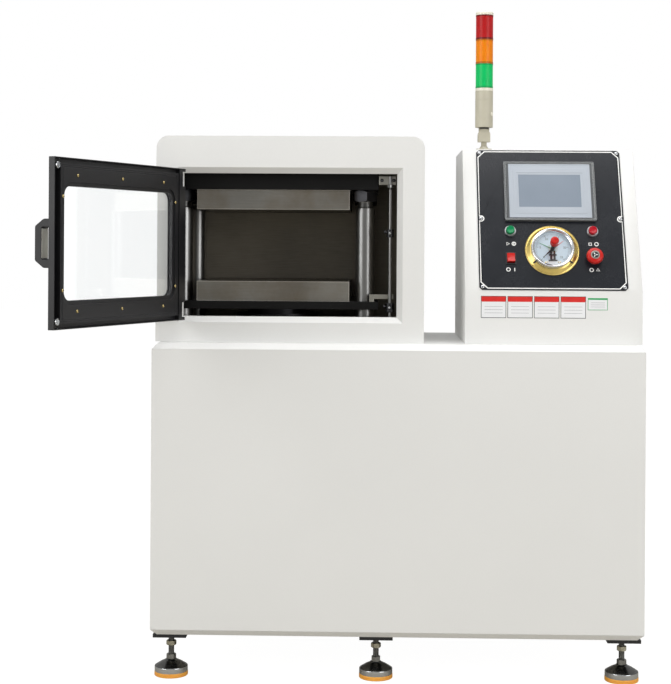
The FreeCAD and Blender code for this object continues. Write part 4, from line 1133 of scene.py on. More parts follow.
@dataclass
class Cabinet(Assembly):
    """The base cabinet's skins, its rear screws and the cable gland."""

    edge: float = 1.0
    panel_edge: float = 0.8
    hole_room: float = 40.0
    screw: Screw = Screw(5.0, 3.2)
    screw_inset: float = 15.0
    gland_flats: float = 27.0

    def build(self) -> None:
        """Makes every piece of the cabinet."""
        for node in ("base_pan", "table_top", "front_cover", "left_side_panel",
                     "right_side_panel"):
            self.refine(node, self.edge, POWDER_COAT, "cabinet_paint")
        self.make_rear_panel()
        self.make_screws()
        self.make_gland()

    def make_rear_panel(self) -> None:
        """The rear panel, with a square ruled round its cable hole."""
        hole = self.box("power_inlet").centre
        lines = [((hole.x + room, 0, hole.z + room), facing)
                 for room in (-self.hole_room, self.hole_room)
                 for facing in ((1, 0, 0), (0, 0, 1))]
        panel = Piece.refined("rear_panel", self.place, 0).ruled(lines)
        self.keep(panel.rounded(self.panel_edge), POWDER_COAT, "cabinet_paint", "machine",
                  ["rear_panel"])

    def make_screws(self) -> None:
        """Screws round the rear panel."""
        panel = self.box("rear_panel")
        xs = (panel.low.x + self.screw_inset, panel.centre.x, panel.high.x - self.screw_inset)
        zs = (panel.low.z + self.screw_inset, panel.centre.z, panel.high.z - self.screw_inset)
        spots = [towards((x, panel.high.y, z), REAR) for x in xs for z in zs]
        screws = self.screw.made("rear_panel_screws").copied(spots)
        self.keep(screws, STAINLESS, "zinc_steel")

    def make_gland(self) -> None:
        """The cable gland: a hexagon body, a ribbed dome nut and its rubber seal."""
        inlet = self.box("power_inlet")
        wall = self.box("rear_panel").high.y
        front, rear = inlet.low.y - wall, inlet.high.y - wall
        middle = towards((inlet.centre.x, wall, inlet.centre.z), REAR)
        body = Piece.turned("gland_body", [
            (7.2, front), (9.8, front), (10, front + 0.5), (10, 0), (15.6, 0), (16, 0.6),
            (16, 1.6), (14.2, 2.2), (14.2, 6.5), (13.6, 7), (13.6, 9), (13.0, 12), (10.8, 15.6),
            (8.6, rear), (7.2, rear)], bore=True)
        shell = hexagon_nut("gland_hexagon", self.gland_flats, 5.5, 12.0)
        body.joined([shell.placed(at(0, 0, 1.5))])
        ribs = Piece.block("gland_ribs", (-0.6, -0.7, 7), (0.6, 0.7, 11.5)).rounded(0.3)
        body.joined([ribs.copied(around(18, 13.6))])
        self.keep(body.placed(middle), NYLON, "black_plastic", replaces=["power_inlet"])
        seal = Piece.turned("gland_seal", [
            (7.1, 6), (7.1, rear - 1), (5.4, rear - 0.6), (5.0, rear - 1.6), (5.0, 6)], bore=True)
        self.keep(seal.placed(middle), RUBBER, "black_plastic")


@dataclass
class Feet(Assembly):
    """Six levelling feet."""

    plate_edge: float = 1.2
    thread_pitch: float = 2.0
    thread_depth: float = 1.05
    hex_flats: float = 20.0
    nut_flats: float = 21.0

    def build(self) -> None:
        """Makes the plates, nuts, pads, rubbers and the six screws."""
        self.refine("foot_plates", self.plate_edge, SATIN_BLACK, "black_paint")
        nuts = self.place.solids("foot_locknuts")
        nut = hexagon_nut("foot_locknuts_finished", self.nut_flats, nuts[0].size.z, 7.15)
        self.keep(nut.copied([towards((*box.centre.xy, box.low.z), spin=12) for box in nuts]),
                  YELLOW_ZINC, "zinc_steel", replaces=["foot_locknuts"])
        self.make_pads([at(*box.centre.xy) for box in nuts])
        self.make_stems()

    def make_pads(self, spots: list[Matrix]) -> None:
        """The pressed pads and the rubber rings under them.

        Args:
            spots: where the feet stand.
        """
        pad = self.box("foot_pads")
        low, high = pad.low.z, pad.high.z
        radius = self.place.solids("foot_pads")[0].size.x / 2
        # The pad's cone is in darker zinc: painted shade.
        dish = Piece.turned("foot_pads_finished", [
            (radius - 4, low + 1), (radius - 1.2, high - 16.5),
            *arc((radius - 2.5, high - 17), 2.5, 30, 62, 3), (26, high - 7.2), (16.5, high - 2.6),
            (14.4, high - 1.6), (13.6, high - 0.4), (12.6, high), (7.4, high), (7.2, high - 12)],
            sides=72)
        self.keep(dish.copied(spots), SHADED_PRESSED_ZINC, "zinc_steel", replaces=["foot_pads"])
        # Its upright wall is a ring of brighter steel: a painted highlight on the same pressed
        # pad.
        skirt = Piece.turned("foot_skirts", [
            (radius - 3, low), (radius - 0.6, low), (radius, low + 0.8), (radius, high - 17),
            *arc((radius - 2.5, high - 17), 2.5, 0, 30, 3), (radius - 1.4, high - 16.5)], sides=72)
        self.keep(skirt.copied(spots), STAINLESS, "zinc_steel")
        ring = Piece.turned("foot_rubbers_finished", [
            (37.5, 0), (39.3, 0.3), (40, 1.2), (40, 4.2), (39.4, 4.8), (39.4, 5.4), (40, 6),
            (40, 8.8), (39.2, low)], sides=72)
        self.keep(ring.copied(spots), POLYURETHANE, "orange_rubber", replaces=["foot_rubbers"])

    def make_stems(self) -> None:
        """The levelling screws, each on its own body."""
        names = [name for name in frame["nodes"] if name.startswith("foot_stem_")]
        first = self.box(names[0])
        low, high, radius = first.low.z, first.high.z, 7.0
        hex_low, hex_high = low + 14, low + 26
        stem = Piece.turned("stem", [
            (5.6, low), (6.8, low + 1.2), (6.8, hex_high),
            *thread(radius, self.thread_depth, self.thread_pitch, hex_high + 0.4, high - 2),
            (radius - 1.4, high)], sides=24)
        collar = hexagon_nut("collar", self.hex_flats, hex_high - hex_low, 6.7)
        stem.joined([collar.placed(at(0, 0, hex_low))])
        for name in names:
            spot = self.box(name).centre
            turn = 10.0 + 17.0 * names.index(name)
            twin = stem.twin(name + "_finished", towards((spot.x, spot.y, 0), spin=turn))
            self.keep(twin, ZINC_PLATE, "zinc_steel", name, [name])
        bpy.data.objects.remove(stem.thing)


# ---- press

@dataclass
class Housing(Assembly):
    """The sheet cover over the press, its rear cover and the chamber lining."""

    edge: float = 1.0
    screw: Screw = Screw(4.5, 3.0)
    screw_inset: float = 12.0
    corner_step: float = 14.0

    def build(self) -> None:
        """Makes every piece of the housing."""
        self.refine("press_housing", self.edge, POWDER_COAT, "cabinet_paint")
        self.refine("press_rear_cover", 0.8, POWDER_COAT, "cabinet_paint")
        self.refine("chamber_liner", 0.5, SMOKED_SHEET, "black_paint", steps=1)
        cover = self.box("press_rear_cover")
        inset = self.screw_inset
        xs = [cover.low.x + inset + (cover.size.x - 2 * inset) * step / 3 for step in range(4)]
        zs = (cover.low.z + inset, cover.high.z - inset)
        sides = [(x, cover.centre.z) for x in (xs[0], xs[-1])]
        corners = {zs[0]: 0.0, zs[1]: self.corner_step}
        spots = [(min(max(x, xs[0] + corners[z]), xs[-1] - corners[z]), z) for x in xs for z in zs]
        screws = self.screw.made("rear_cover_screws").copied(
            [towards((x, cover.high.y, z), REAR) for x, z in spots + sides])
        self.keep(screws, STAINLESS, "zinc_steel")


@dataclass
class Press(Assembly):
    """The press frame, its platens, the moving bed and the stroke limit rod."""

    beam_edge: float = 2.5
    platen_edge: float = 1.5
    column_radius: float = 23.0
    neck_radius: float = 20.0
    nut_height: float = 28.0
    neck_length: float = 14.0
    nut_turn: float = -23.0
    heater_count: int = 5
    bracket_screw: Screw = Screw(4.2, 3.0, Drive.HEX)
    stop_screw: Screw = Screw(3.0, 2.4, Drive.HEX)

    def build(self) -> None:
        """Makes every piece of the press."""
        self.refine("top_beam", self.beam_edge, SHADED_CHAMBER_BLACK, "black_paint")
        self.refine("bottom_beam", self.beam_edge, SATIN_BLACK, "black_paint")
        self.refine("moving_bed", 1.2, SHADED_CHAMBER_BLACK, "black_paint", "bed")
        self.refine("cylinder", 2.0, BLACK_OXIDE, "dark_steel")
        self.refine("ram", 2.0, BLACK_OXIDE, "chromed_column", "bed")
        self.refine("trip_arm", 1.0, ALUMINIUM, "zinc_steel", "bed")
        self.make_columns()
        for node, body in (("upper_platen", "machine"), ("lower_platen", "bed")):
            self.refine(node, self.platen_edge, GROUND_STEEL, "platen_steel", body)
            self.make_heaters(node, body)
        self.make_limit_rod()

    def make_columns(self) -> None:
        """Four chromed columns with their threads, and the nuts on them."""
        columns = self.place.solids("columns")
        low, high = columns[0].low.z, columns[0].high.z
        foot = self.box("bottom_beam").high.z
        nut_foot = self.box("top_beam").low.z - self.nut_height
        shoulder = nut_foot - self.neck_length
        full, neck = self.column_radius, self.neck_radius
        column = Piece.turned("columns_finished", [
            (neck - 1.5, low), (neck, low + 1.5), (neck, foot), (full - 1, foot), (full, foot + 1),
            (full, shoulder - 1.5), (full - 1.5, shoulder),
            *thread(neck, 1.2, 3.0, shoulder + 0.2, nut_foot - 0.5), (neck, nut_foot),
            (neck, high - 2), (neck - 2, high)], sides=64)
        spots = [at(*box.centre.xy) for box in columns]
        self.keep(column.copied(spots), HARD_CHROME, "chromed_column", replaces=["columns"])
        nuts = self.place.solids("column_nuts")
        nut = hexagon_nut("column_nuts_finished", nuts[0].size.y, nuts[0].size.z, neck + 0.1)
        self.keep(
            nut.copied([towards((*box.centre.xy, box.low.z), spin=self.nut_turn) for box in nuts]),
            BLACK_OXIDE, "dark_steel", replaces=["column_nuts"])

    def make_heaters(self, node: str, body: str) -> None:
        """The ceramic ends of a platen's cartridge heaters.

        Args:
            node: the platen.
            body: the CAD body that it moves with.
        """
        platen = self.box(node)
        pitch = platen.size.x / self.heater_count
        end = Piece.turned(f"{node}_heater_ends", [
            (7.8, -20), (7.8, 0.6), (7.2, 1.2), (5.2, 1.2), (5.2, 4.4), (4.6, 5.0), (2.6, 5.0),
            (2.6, 3.4)], sides=24)
        spots = [towards((platen.low.x + pitch * (number + 0.5), platen.high.y, platen.centre.z),
                         REAR) for number in range(self.heater_count)]
        self.keep(end.copied(spots), CERAMIC, "platen_steel", body)

    def make_limit_rod(self) -> None:
        """The rod, its bracket, and the two stops with their thumb screws."""
        stop = self.box("upper_stop")
        lower = self.box("lower_stop")
        whole = self.box("limit_rod")
        x, y = stop.centre.x, stop.centre.y
        bracket_foot = whole.high.z - 22.0
        rod = Piece.turned("limit_rod_finished", [
            (3.2, whole.low.z), (4, whole.low.z + 1), (4, bracket_foot - 12),
            *thread(4.0, 0.5, 1.25, bracket_foot - 12, bracket_foot - 1), (4, bracket_foot),
            (4, whole.high.z - 2), (3.2, whole.high.z - 1)], sides=32)
        self.keep(rod.placed(at(x, y)), HARD_CHROME, "chromed_column", replaces=["limit_rod"])
        nut = hexagon_nut("limit_rod_nut", 13.0, 6.5, 4.0)
        self.keep(nut.placed(towards((x, y, bracket_foot - 6.5), spin=20)), ZINC_PLATE,
                  "zinc_steel")
        face = y + 1.5
        bracket = Piece.block("limit_rod_bracket", (whole.low.x, face, bracket_foot),
                              (whole.high.x, whole.high.y, whole.high.z)).rounded(1.5, 3)
        self.keep(bracket, ALUMINIUM, "chromed_column")
        screws = self.bracket_screw.made("limit_rod_screws").copied([
            towards((whole.low.x + step, face, bracket_foot + 11), FRONT) for step in (7.5, 36.0)])
        self.keep(screws, BLACK_OXIDE, "dark_steel")
        for box, body, radius in ((stop, "upper_stop", 9.5), (lower, "lower_stop", 11.5)):
            low, high = box.low.z, box.high.z
            collar = Piece.turned(body + "_finished", [
                (4.1, low), (radius - 1, low), (radius, low + 1), (radius, low + 4),
                (radius - 0.8, low + 4.8), (radius - 0.8, high - 4.8), (radius, high - 4),
                (radius, high - 1), (radius - 1, high), (4.1, high)], bore=True)
            self.keep(collar.placed(at(x, y)), BLACK_OXIDE, "dark_steel", body, [body])
            screw = self.stop_screw.made(body + "_set_screw")
            spot = towards((x - 1.5, y - radius + 0.9, (low + high) / 2), (-0.2, -1, 0))
            self.keep(screw.placed(spot), STAINLESS, "dark_steel", body)
            thumb = Piece.turned(body + "_thumb_screw", [
                (2, radius - 3), (2, radius + 1.5), (3.6, radius + 1.5), (4, radius + 2),
                (4, radius + 5.4), (3.6, radius + 6), (1, radius + 6)], sides=24)
            self.keep(thumb.placed(towards((x, y, (low + high) / 2 + 3), (-1, -0.35, 0))),
                      BLACK_OXIDE, "dark_steel", body)


# ---- door

@dataclass
class Door(Assembly):
    """The glazed door: frame, clamp, glass, screws, catches, handle and hinges."""

    place: Place = field(default_factory=door_place)
    edge: float = 1.0
    rim: float = 2.5
    hinge_bar: float = 28.0
    notch: float = 13.0
    pin_tail: float = 5.7
    glass_margin: float = 6.0
    glass_room: float = 6.3
    glass_top: float = 5.0
    window_corner: float = 20.0
    clamp_face: float = 16.0
    clamp_foot: float = -1.0
    bezel: float = 9.0
    bezel_drop: float = 3.0
    groove: float = 1.4
    groove_depth: float = 2.2
    screw: Screw = Screw(3.5, 2.5)
    catch_radius: float = 7.2
    catch_shaft: float = 5.6
    catch_height: float = 16.2
    catch_head: float = 3.2
    handle_edge: float = 2.5
    handle_bar: float = 17.0

    def build(self) -> None:
        """Makes every piece of the door."""
        self.make_frame()
        self.refine("door_glass", 0.6, FLOAT_GLASS, "door_glass", "door")
        self.make_clamp()
        self.make_screws()
        self.make_handle()
        self.make_hinges()

    def window(self, name: str, margin: float, low: float, high: float) -> Piece:
        """A block the shape of the window, for cutting it or a border round it.

        Args:
            name: the piece's name.
            margin: how far it reaches past the window.
            low: where it starts across the door's thickness.
            high: where it ends.

        Returns:
            The block.
        """
        glass = self.box("door_glass")
        edge = margin - self.glass_margin
        return Piece.tablet(
            name, (glass.low.x - edge, low, glass.low.z - edge),
            (glass.high.x + edge, high, glass.high.z + edge), self.window_corner + margin, REAR)

    def make_frame(self) -> None:
        """The pressed door pan: its rim, its hinge bar, and the window cut through it."""
        low, high = self.box("door_frame")
        pan = Piece.block("door_frame_finished", low, high)
        pocket = Piece.block(
            "pocket", (low.x + self.hinge_bar, self.clamp_foot, low.z + self.rim),
            (high.x - self.rim, high.y + 1, high.z - self.rim))
        pan.carve(pocket)
        pan.carve(self.window("cutter", 0, low.y - 1, high.y + 1))
        for box in self.place.solids("hinge_pins"):
            pan.carve(Piece.block(
                "notch", (low.x - 1, low.y - 1, box.low.z + self.pin_tail),
                (low.x + self.notch, high.y + 1, box.high.z - self.pin_tail)))
        self.keep(pan.rounded(self.edge), SATIN_BLACK, "black_paint", "door", ["door_frame"])

    def make_clamp(self) -> None:
        """The clamp frame: a slab with a stepped border round the window and two ridges."""
        box = self.box("glass_clamp")
        top, floor = self.clamp_face, self.clamp_face - self.groove_depth
        clamp = Piece.block("glass_clamp_finished", (box.low.x, self.clamp_foot, box.low.z),
                            (box.high.x, top, box.high.z))
        clamp.carve(self.window("cutter", 0, self.clamp_foot - 1, top + 1))
        clamp.carve(self.window("rebate", self.glass_room, self.clamp_foot - 1, self.glass_top))
        clamp.carve(self.window("step", self.bezel, top - self.bezel_drop, top + 1))
        for inset in (3.0, 7.0):
            outer = Piece.block("outer", (box.low.x + inset, floor, box.low.z + inset),
                                (box.high.x - inset, top + 1, box.high.z - inset))
            reach = inset + self.groove
            inner = Piece.block("inner", (box.low.x + reach, floor - 1, box.low.z + reach),
                                (box.high.x - reach, top + 2, box.high.z - reach))
            clamp.carve(outer.carve(inner))
        self.keep(clamp.rounded(0.5, 2), SATIN_BLACK, "black_paint", "door", ["glass_clamp"])

    def make_screws(self) -> None:
        """The clamp's brass-plated screws and the two slotted catches."""
        boxes = self.place.solids("door_screws")
        small = [box for box in boxes if box.size.x < 2 * self.catch_shaft - 1]
        large = [box for box in boxes if box not in small]
        screws = self.screw.made("door_screws_finished").copied([
            towards((box.centre.x, self.clamp_face, box.centre.z), REAR, spin=23.0 * number)
            for number, box in enumerate(small)])
        self.keep(screws, SCREW_BRASS, "chromed_column", "door", ["door_screws"])
        height, radius = self.catch_height, self.catch_radius
        shaft, head = self.catch_shaft, height - self.catch_head
        catch = Piece.turned("door_catches", [
            (shaft, 0), (shaft, head), (radius - 0.3, head), (radius, head + 0.4),
            (radius, height - 0.9), (radius - 0.8, height - 0.2), (radius - 2, height),
            (1, height)], sides=40)
        slot = Piece.block(
            "slot", (-radius - 1, -0.9, height - 1.6), (radius + 1, 0.9, height + 1))
        ring = Piece.turned(
            "ring",
            [(4.6, height - 0.6), (4.6, height + 1), (5.4, height + 1), (5.4, height - 0.6)],
            bore=True)
        catch.carve(slot).carve(ring)
        self.keep(
            catch.copied([towards((box.centre.x, box.low.y, box.centre.z), REAR,
                                  spin=35.0 + 50.0 * number) for number, box in enumerate(large)]),
            STAINLESS, "chromed_column", "door")

    def make_handle(self) -> None:
        """The bridge handle and the pale liner inside its grip."""
        self.refine("door_handle", self.handle_edge, NYLON, "black_plastic", "door", steps=3)
        handle = self.box("door_handle")
        grip = handle.low.y + self.handle_bar
        liner = Piece.block(
            "handle_liner", (handle.low.x + 1.2, grip - 0.6, handle.low.z + 20.5),
            (handle.high.x - 1.2, grip + 1.0, handle.high.z - 20.5)).rounded(0.5)
        self.keep(liner, ALUMINIUM, "hmi_grey", "door")

    def make_hinges(self) -> None:
        """The hinge leaves and barrels, with turned knuckle joints and pin heads."""
        machine = Assembly()
        machine.refine("hinge_pins", 0.6, STAINLESS, "chromed_column")
        axis = machine.place.matrix.inverted() @ Vector(joint("door_hinge")["pos_m"])
        spans = machine.place.solids("hinge_pins")
        for number, box in enumerate(spans):
            low, high = box.low.z + 6, box.high.z - 6
            third = (high - low) / 3
            barrel = Piece.turned(f"hinge_barrel_{number}", [
                (3.4, low - 1.4), (4.4, low - 0.8), (4.7, low), (4.7, low + third - 0.4),
                (4.2, low + third), (4.7, low + third + 0.4), (4.7, high - third - 0.4),
                (4.2, high - third), (4.7, high - third + 0.4), (4.7, high), (4.4, high + 0.8),
                (3.4, high + 1.4)], sides=32)
            machine.keep(barrel.placed(at(axis.x, axis.y)), STAINLESS, "chromed_column")


# ---- console

@dataclass
class Console(Assembly):
    """The console's shell and the labels on its front."""

    edge: float = 1.2
    label_left: float = 197.5
    label_pitch: float = 62.9
    label_width: float = 59.6
    label_foot: float = 62.0
    label_height: float = 52.0
    label_count: int = 4
    band_height: float = 13.5
    tag_left: float = 450.4
    tag_width: float = 47.0
    tag_foot: float = 82.0
    tag_height: float = 28.6
    tag_band: float = 4.2
    film: float = 0.35

    def build(self) -> None:
        """Makes the shell and its blank labels."""
        self.refine("console_shell", self.edge, POWDER_COAT, "cabinet_paint")
        shell = self.box("console_shell")
        labels = [(self.label_left + number * self.label_pitch, shell.low.z + self.label_foot,
                   self.label_width, self.label_height) for number in range(self.label_count)]
        tag = (self.tag_left, shell.low.z + self.tag_foot, self.tag_width, self.tag_height)
        self.make_labels("label", labels, self.band_height, RED_INK, BLACK_INK, shell.low.y)
        self.make_labels("tag", [tag], self.tag_band, GREEN_INK, GREEN_INK, shell.low.y)

    def make_labels(self, name: str, spots: list, band: float, ink: Finish, edge_ink: Finish,
                    face: float) -> None:
        """Blank film labels: a coloured head band, a thin border and faint ruled lines.

        Args:
            name: what the pieces are called.
            spots: the left edge, foot, width and height of each.
            band: the head band's height.
            ink: the head band's ink.
            edge_ink: the border's ink.
            face: where the front of the console is.
        """
        films, bands, borders, rules = [], [], [], []
        for x, z, width, height in spots:
            films.append(self.make_film("film", x, z, width, height, face, self.film))
            bands.append(self.make_film("band", x + 0.9, z + height - band, width - 1.8,
                                        band - 0.9, face, self.film + 0.06))
            inner = 0.6
            left, right, foot, head = x + inner, x + width - inner, z + inner, z + height - inner
            outline = [(left, foot, 0), (right, foot, 0), (right, head, 0), (left, head, 0)]
            borders.append(Piece.wire("border", outline, 0.9, closed=True, flatten=0.14).placed(
                towards((0, face - self.film, 0), FRONT, 0)))
            for row in range(3):
                rise = z + (height - band) * (0.3 + 0.2 * row)
                rules.append(self.make_film("rule", x + width * 0.14, rise, width * 0.72, 0.7,
                                            face, self.film + 0.05))
        for piece, others, finish, label in (
                (films[0], films[1:], VINYL, "films"), (bands[0], bands[1:], ink, "bands"),
                (borders[0], borders[1:], edge_ink, "borders"),
                (rules[0], rules[1:], GREY_INK, "rules")):
            self.keep(piece.joined(others, f"{name}_{label}"), finish, "panel_plate")

    def make_film(self, name: str, x: float, z: float, width: float, height: float, face: float,
                  sheet: float) -> Piece:
        """A thin film with rounded corners on the console's front."""
        return Piece.tablet(name, (x, face - sheet, z), (x + width, face + 0.2, z + height),
                            min(2.0, height * 0.3), REAR, 3)


@dataclass
class Panel(Assembly):
    """The dark panel on the console's slope, with its printed lines and its screws."""

    place: Place = field(default_factory=panel_place)
    line_inset: float = 4.5
    line_width: float = 2.6
    line_clip: float = 15.5
    detour: float = 7.0
    screw: Screw = Screw(4.5, 2.6, Drive.HEX)

    def build(self) -> None:
        """Makes the plate, the border line, the screws and the captions."""
        self.refine("panel_plate", 0.5, PANEL_FILM, "panel_plate")
        plate = self.box("panel_plate")
        screws = self.place.solids("panel_screws")
        heads = self.screw.made("panel_screws_finished").copied(
            [towards((box.centre.x, box.centre.y, plate.high.z), spin=19.0 * number)
             for number, box in enumerate(screws)])
        self.keep(heads, STAINLESS, "chromed_column", replaces=["panel_screws"])
        self.make_border(plate, screws)
        self.make_captions(plate.high.z)

    def make_border(self, plate: Box, screws: list[Box]) -> None:
        """The white line round the panel, which steps round the middle screws.

        Args:
            plate: the panel plate's box.
            screws: the boxes of the screws.
        """
        left, right = plate.low.x + self.line_inset, plate.high.x - self.line_inset
        low, high = plate.low.y + self.line_inset, plate.high.y - self.line_inset
        clip, level = self.line_clip, plate.high.z
        middle = sorted(box.centre.y for box in screws)[len(screws) // 2]
        screw_x = max(box.centre.x for box in screws)
        reach = self.detour
        bulge = [(screw_x - reach * math.cos(turn), middle + reach * math.sin(turn))
                 for turn in map(math.radians, range(-120, 121, 20))]
        half = [(right, low + clip), *bulge, (right, high - clip), (right - clip, high)]
        other = [(-x, y) for x, y in reversed(half)]
        path = [(right - clip, low), *half, *other, (left + clip, low)]
        line = Piece.wire("panel_border_line", [(x, y, level) for x, y in path],
                          self.line_width / 2, closed=True, flatten=0.12)
        self.keep(line, WHITE_INK, "panel_plate")

    def make_captions(self, level: float) -> None:
        """Plain marks under the controls: bars, rings, a triangle and a square.

        Args:
            level: the height of the panel's face.
        """
        controls = self.box("switch_collars")
        across = controls.high.x - 14
        rows = controls.low.y
        size, line, flat = 4.4, 1.0, 0.18
        left, right = -across, across
        upper, lower = rows + 54.0, rows - 13.5
        marks = []
        for x, y, corners, start in ((left - 7, upper, 3, 0), (left + 8, upper, 12, 0),
                                     (right - 7, upper, 4, 45), (right + 8, upper, 12, 0),
                                     (left - 7, lower, 12, 0), (right - 7, lower, 12, 0),
                                     (right + 8, lower, 3, 90)):
            turns = [math.radians(start + 360 * step / corners) for step in range(corners)]
            shape = [(x + size * math.cos(turn), y + size * math.sin(turn), level)
                     for turn in turns]
            marks.append(Piece.wire("mark", shape, line, closed=True, flatten=flat))
        for x, y in ((left + 8, upper), (left + 8, lower)):
            marks.append(Piece.wire(
                "mark", [(x, y - size, level), (x, y + size, level)], line, flatten=flat))
        self.keep(marks[0].joined(marks[1:], "panel_marks"), WHITE_INK, "panel_plate")


@dataclass
class Terminal(Assembly):
    """The operator's touch terminal."""

    place: Place = field(default_factory=panel_place)
    side_border: float = 11.0
    end_border: float = 6.5
    body_border: float = 10.0
    lip: float = 5.0
    screen_room: float = 5.4

    def build(self) -> None:
        """Makes the rim, the silver front and the screen."""
        unit = self.box("hmi_housing")
        screen = self.box("hmi_screen")
        plate = self.box("panel_plate").high.z
        top = unit.high.z
        rim = Piece.tablet("terminal_rim", (unit.low.x, unit.low.y, plate),
                           (unit.high.x, unit.high.y, top), 3.0, steps=3)
        rim.pick(Grip.FACES, at_height(top)).inset(2.6).inset(0.8, -0.9)
        rim.inset(1.0).inset(0.3, -1.8)
        rim.pick(Grip.FACES, at_height(plate)).inset(self.body_border)
        rim.extrude((0, 0, unit.low.z - plate))
        self.keep(rim.rounded(0.6, 2), TERMINAL_GREY, "hmi_grey", replaces=["hmi_housing"])

        low = (unit.low.x + self.side_border, unit.low.y + self.end_border)
        high = (unit.high.x - self.side_border, unit.high.y - self.end_border)
        front = Piece.block("terminal_front", (*low, top - 1.6), (*high, top - 0.2))
        border_x = (high[0] - low[0] - screen.size.x) / 2
        inner_y = (high[1] - low[1]) / 2 - border_x
        front.pick(Grip.FACES, at_height(top - 0.2)).inset(3.0).inset(0.5, -0.4)
        front.inset(7.5).inset(0.5, 0.4).inset(border_x - self.lip - 11.5)
        room = self.screen_room
        front.resize((1, (screen.size.y / 2 + room) / (inner_y + self.lip), 1),
                     (*screen.centre.xy, top))
        front.inset(0.5, -0.6).inset(self.lip - 0.5).inset(0.4, -0.5)
        self.keep(front.rounded(0.15, 1), SILVER_FILM, "hmi_grey")

        glass = Piece.block(
            "terminal_screen", (screen.low.x + 0.6, screen.low.y + 0.6 - room, top - 1.7),
            (screen.high.x - 0.6, screen.high.y - 0.6 + room, top - 0.9))
        glass.pick(Grip.FACES, at_height(top - 0.9)).inset(3.0, 0.0).inset(0.4, -0.1)
        self.keep(glass.rounded(0.1, 1), DISPLAY, "black_plastic", replaces=["hmi_screen"])


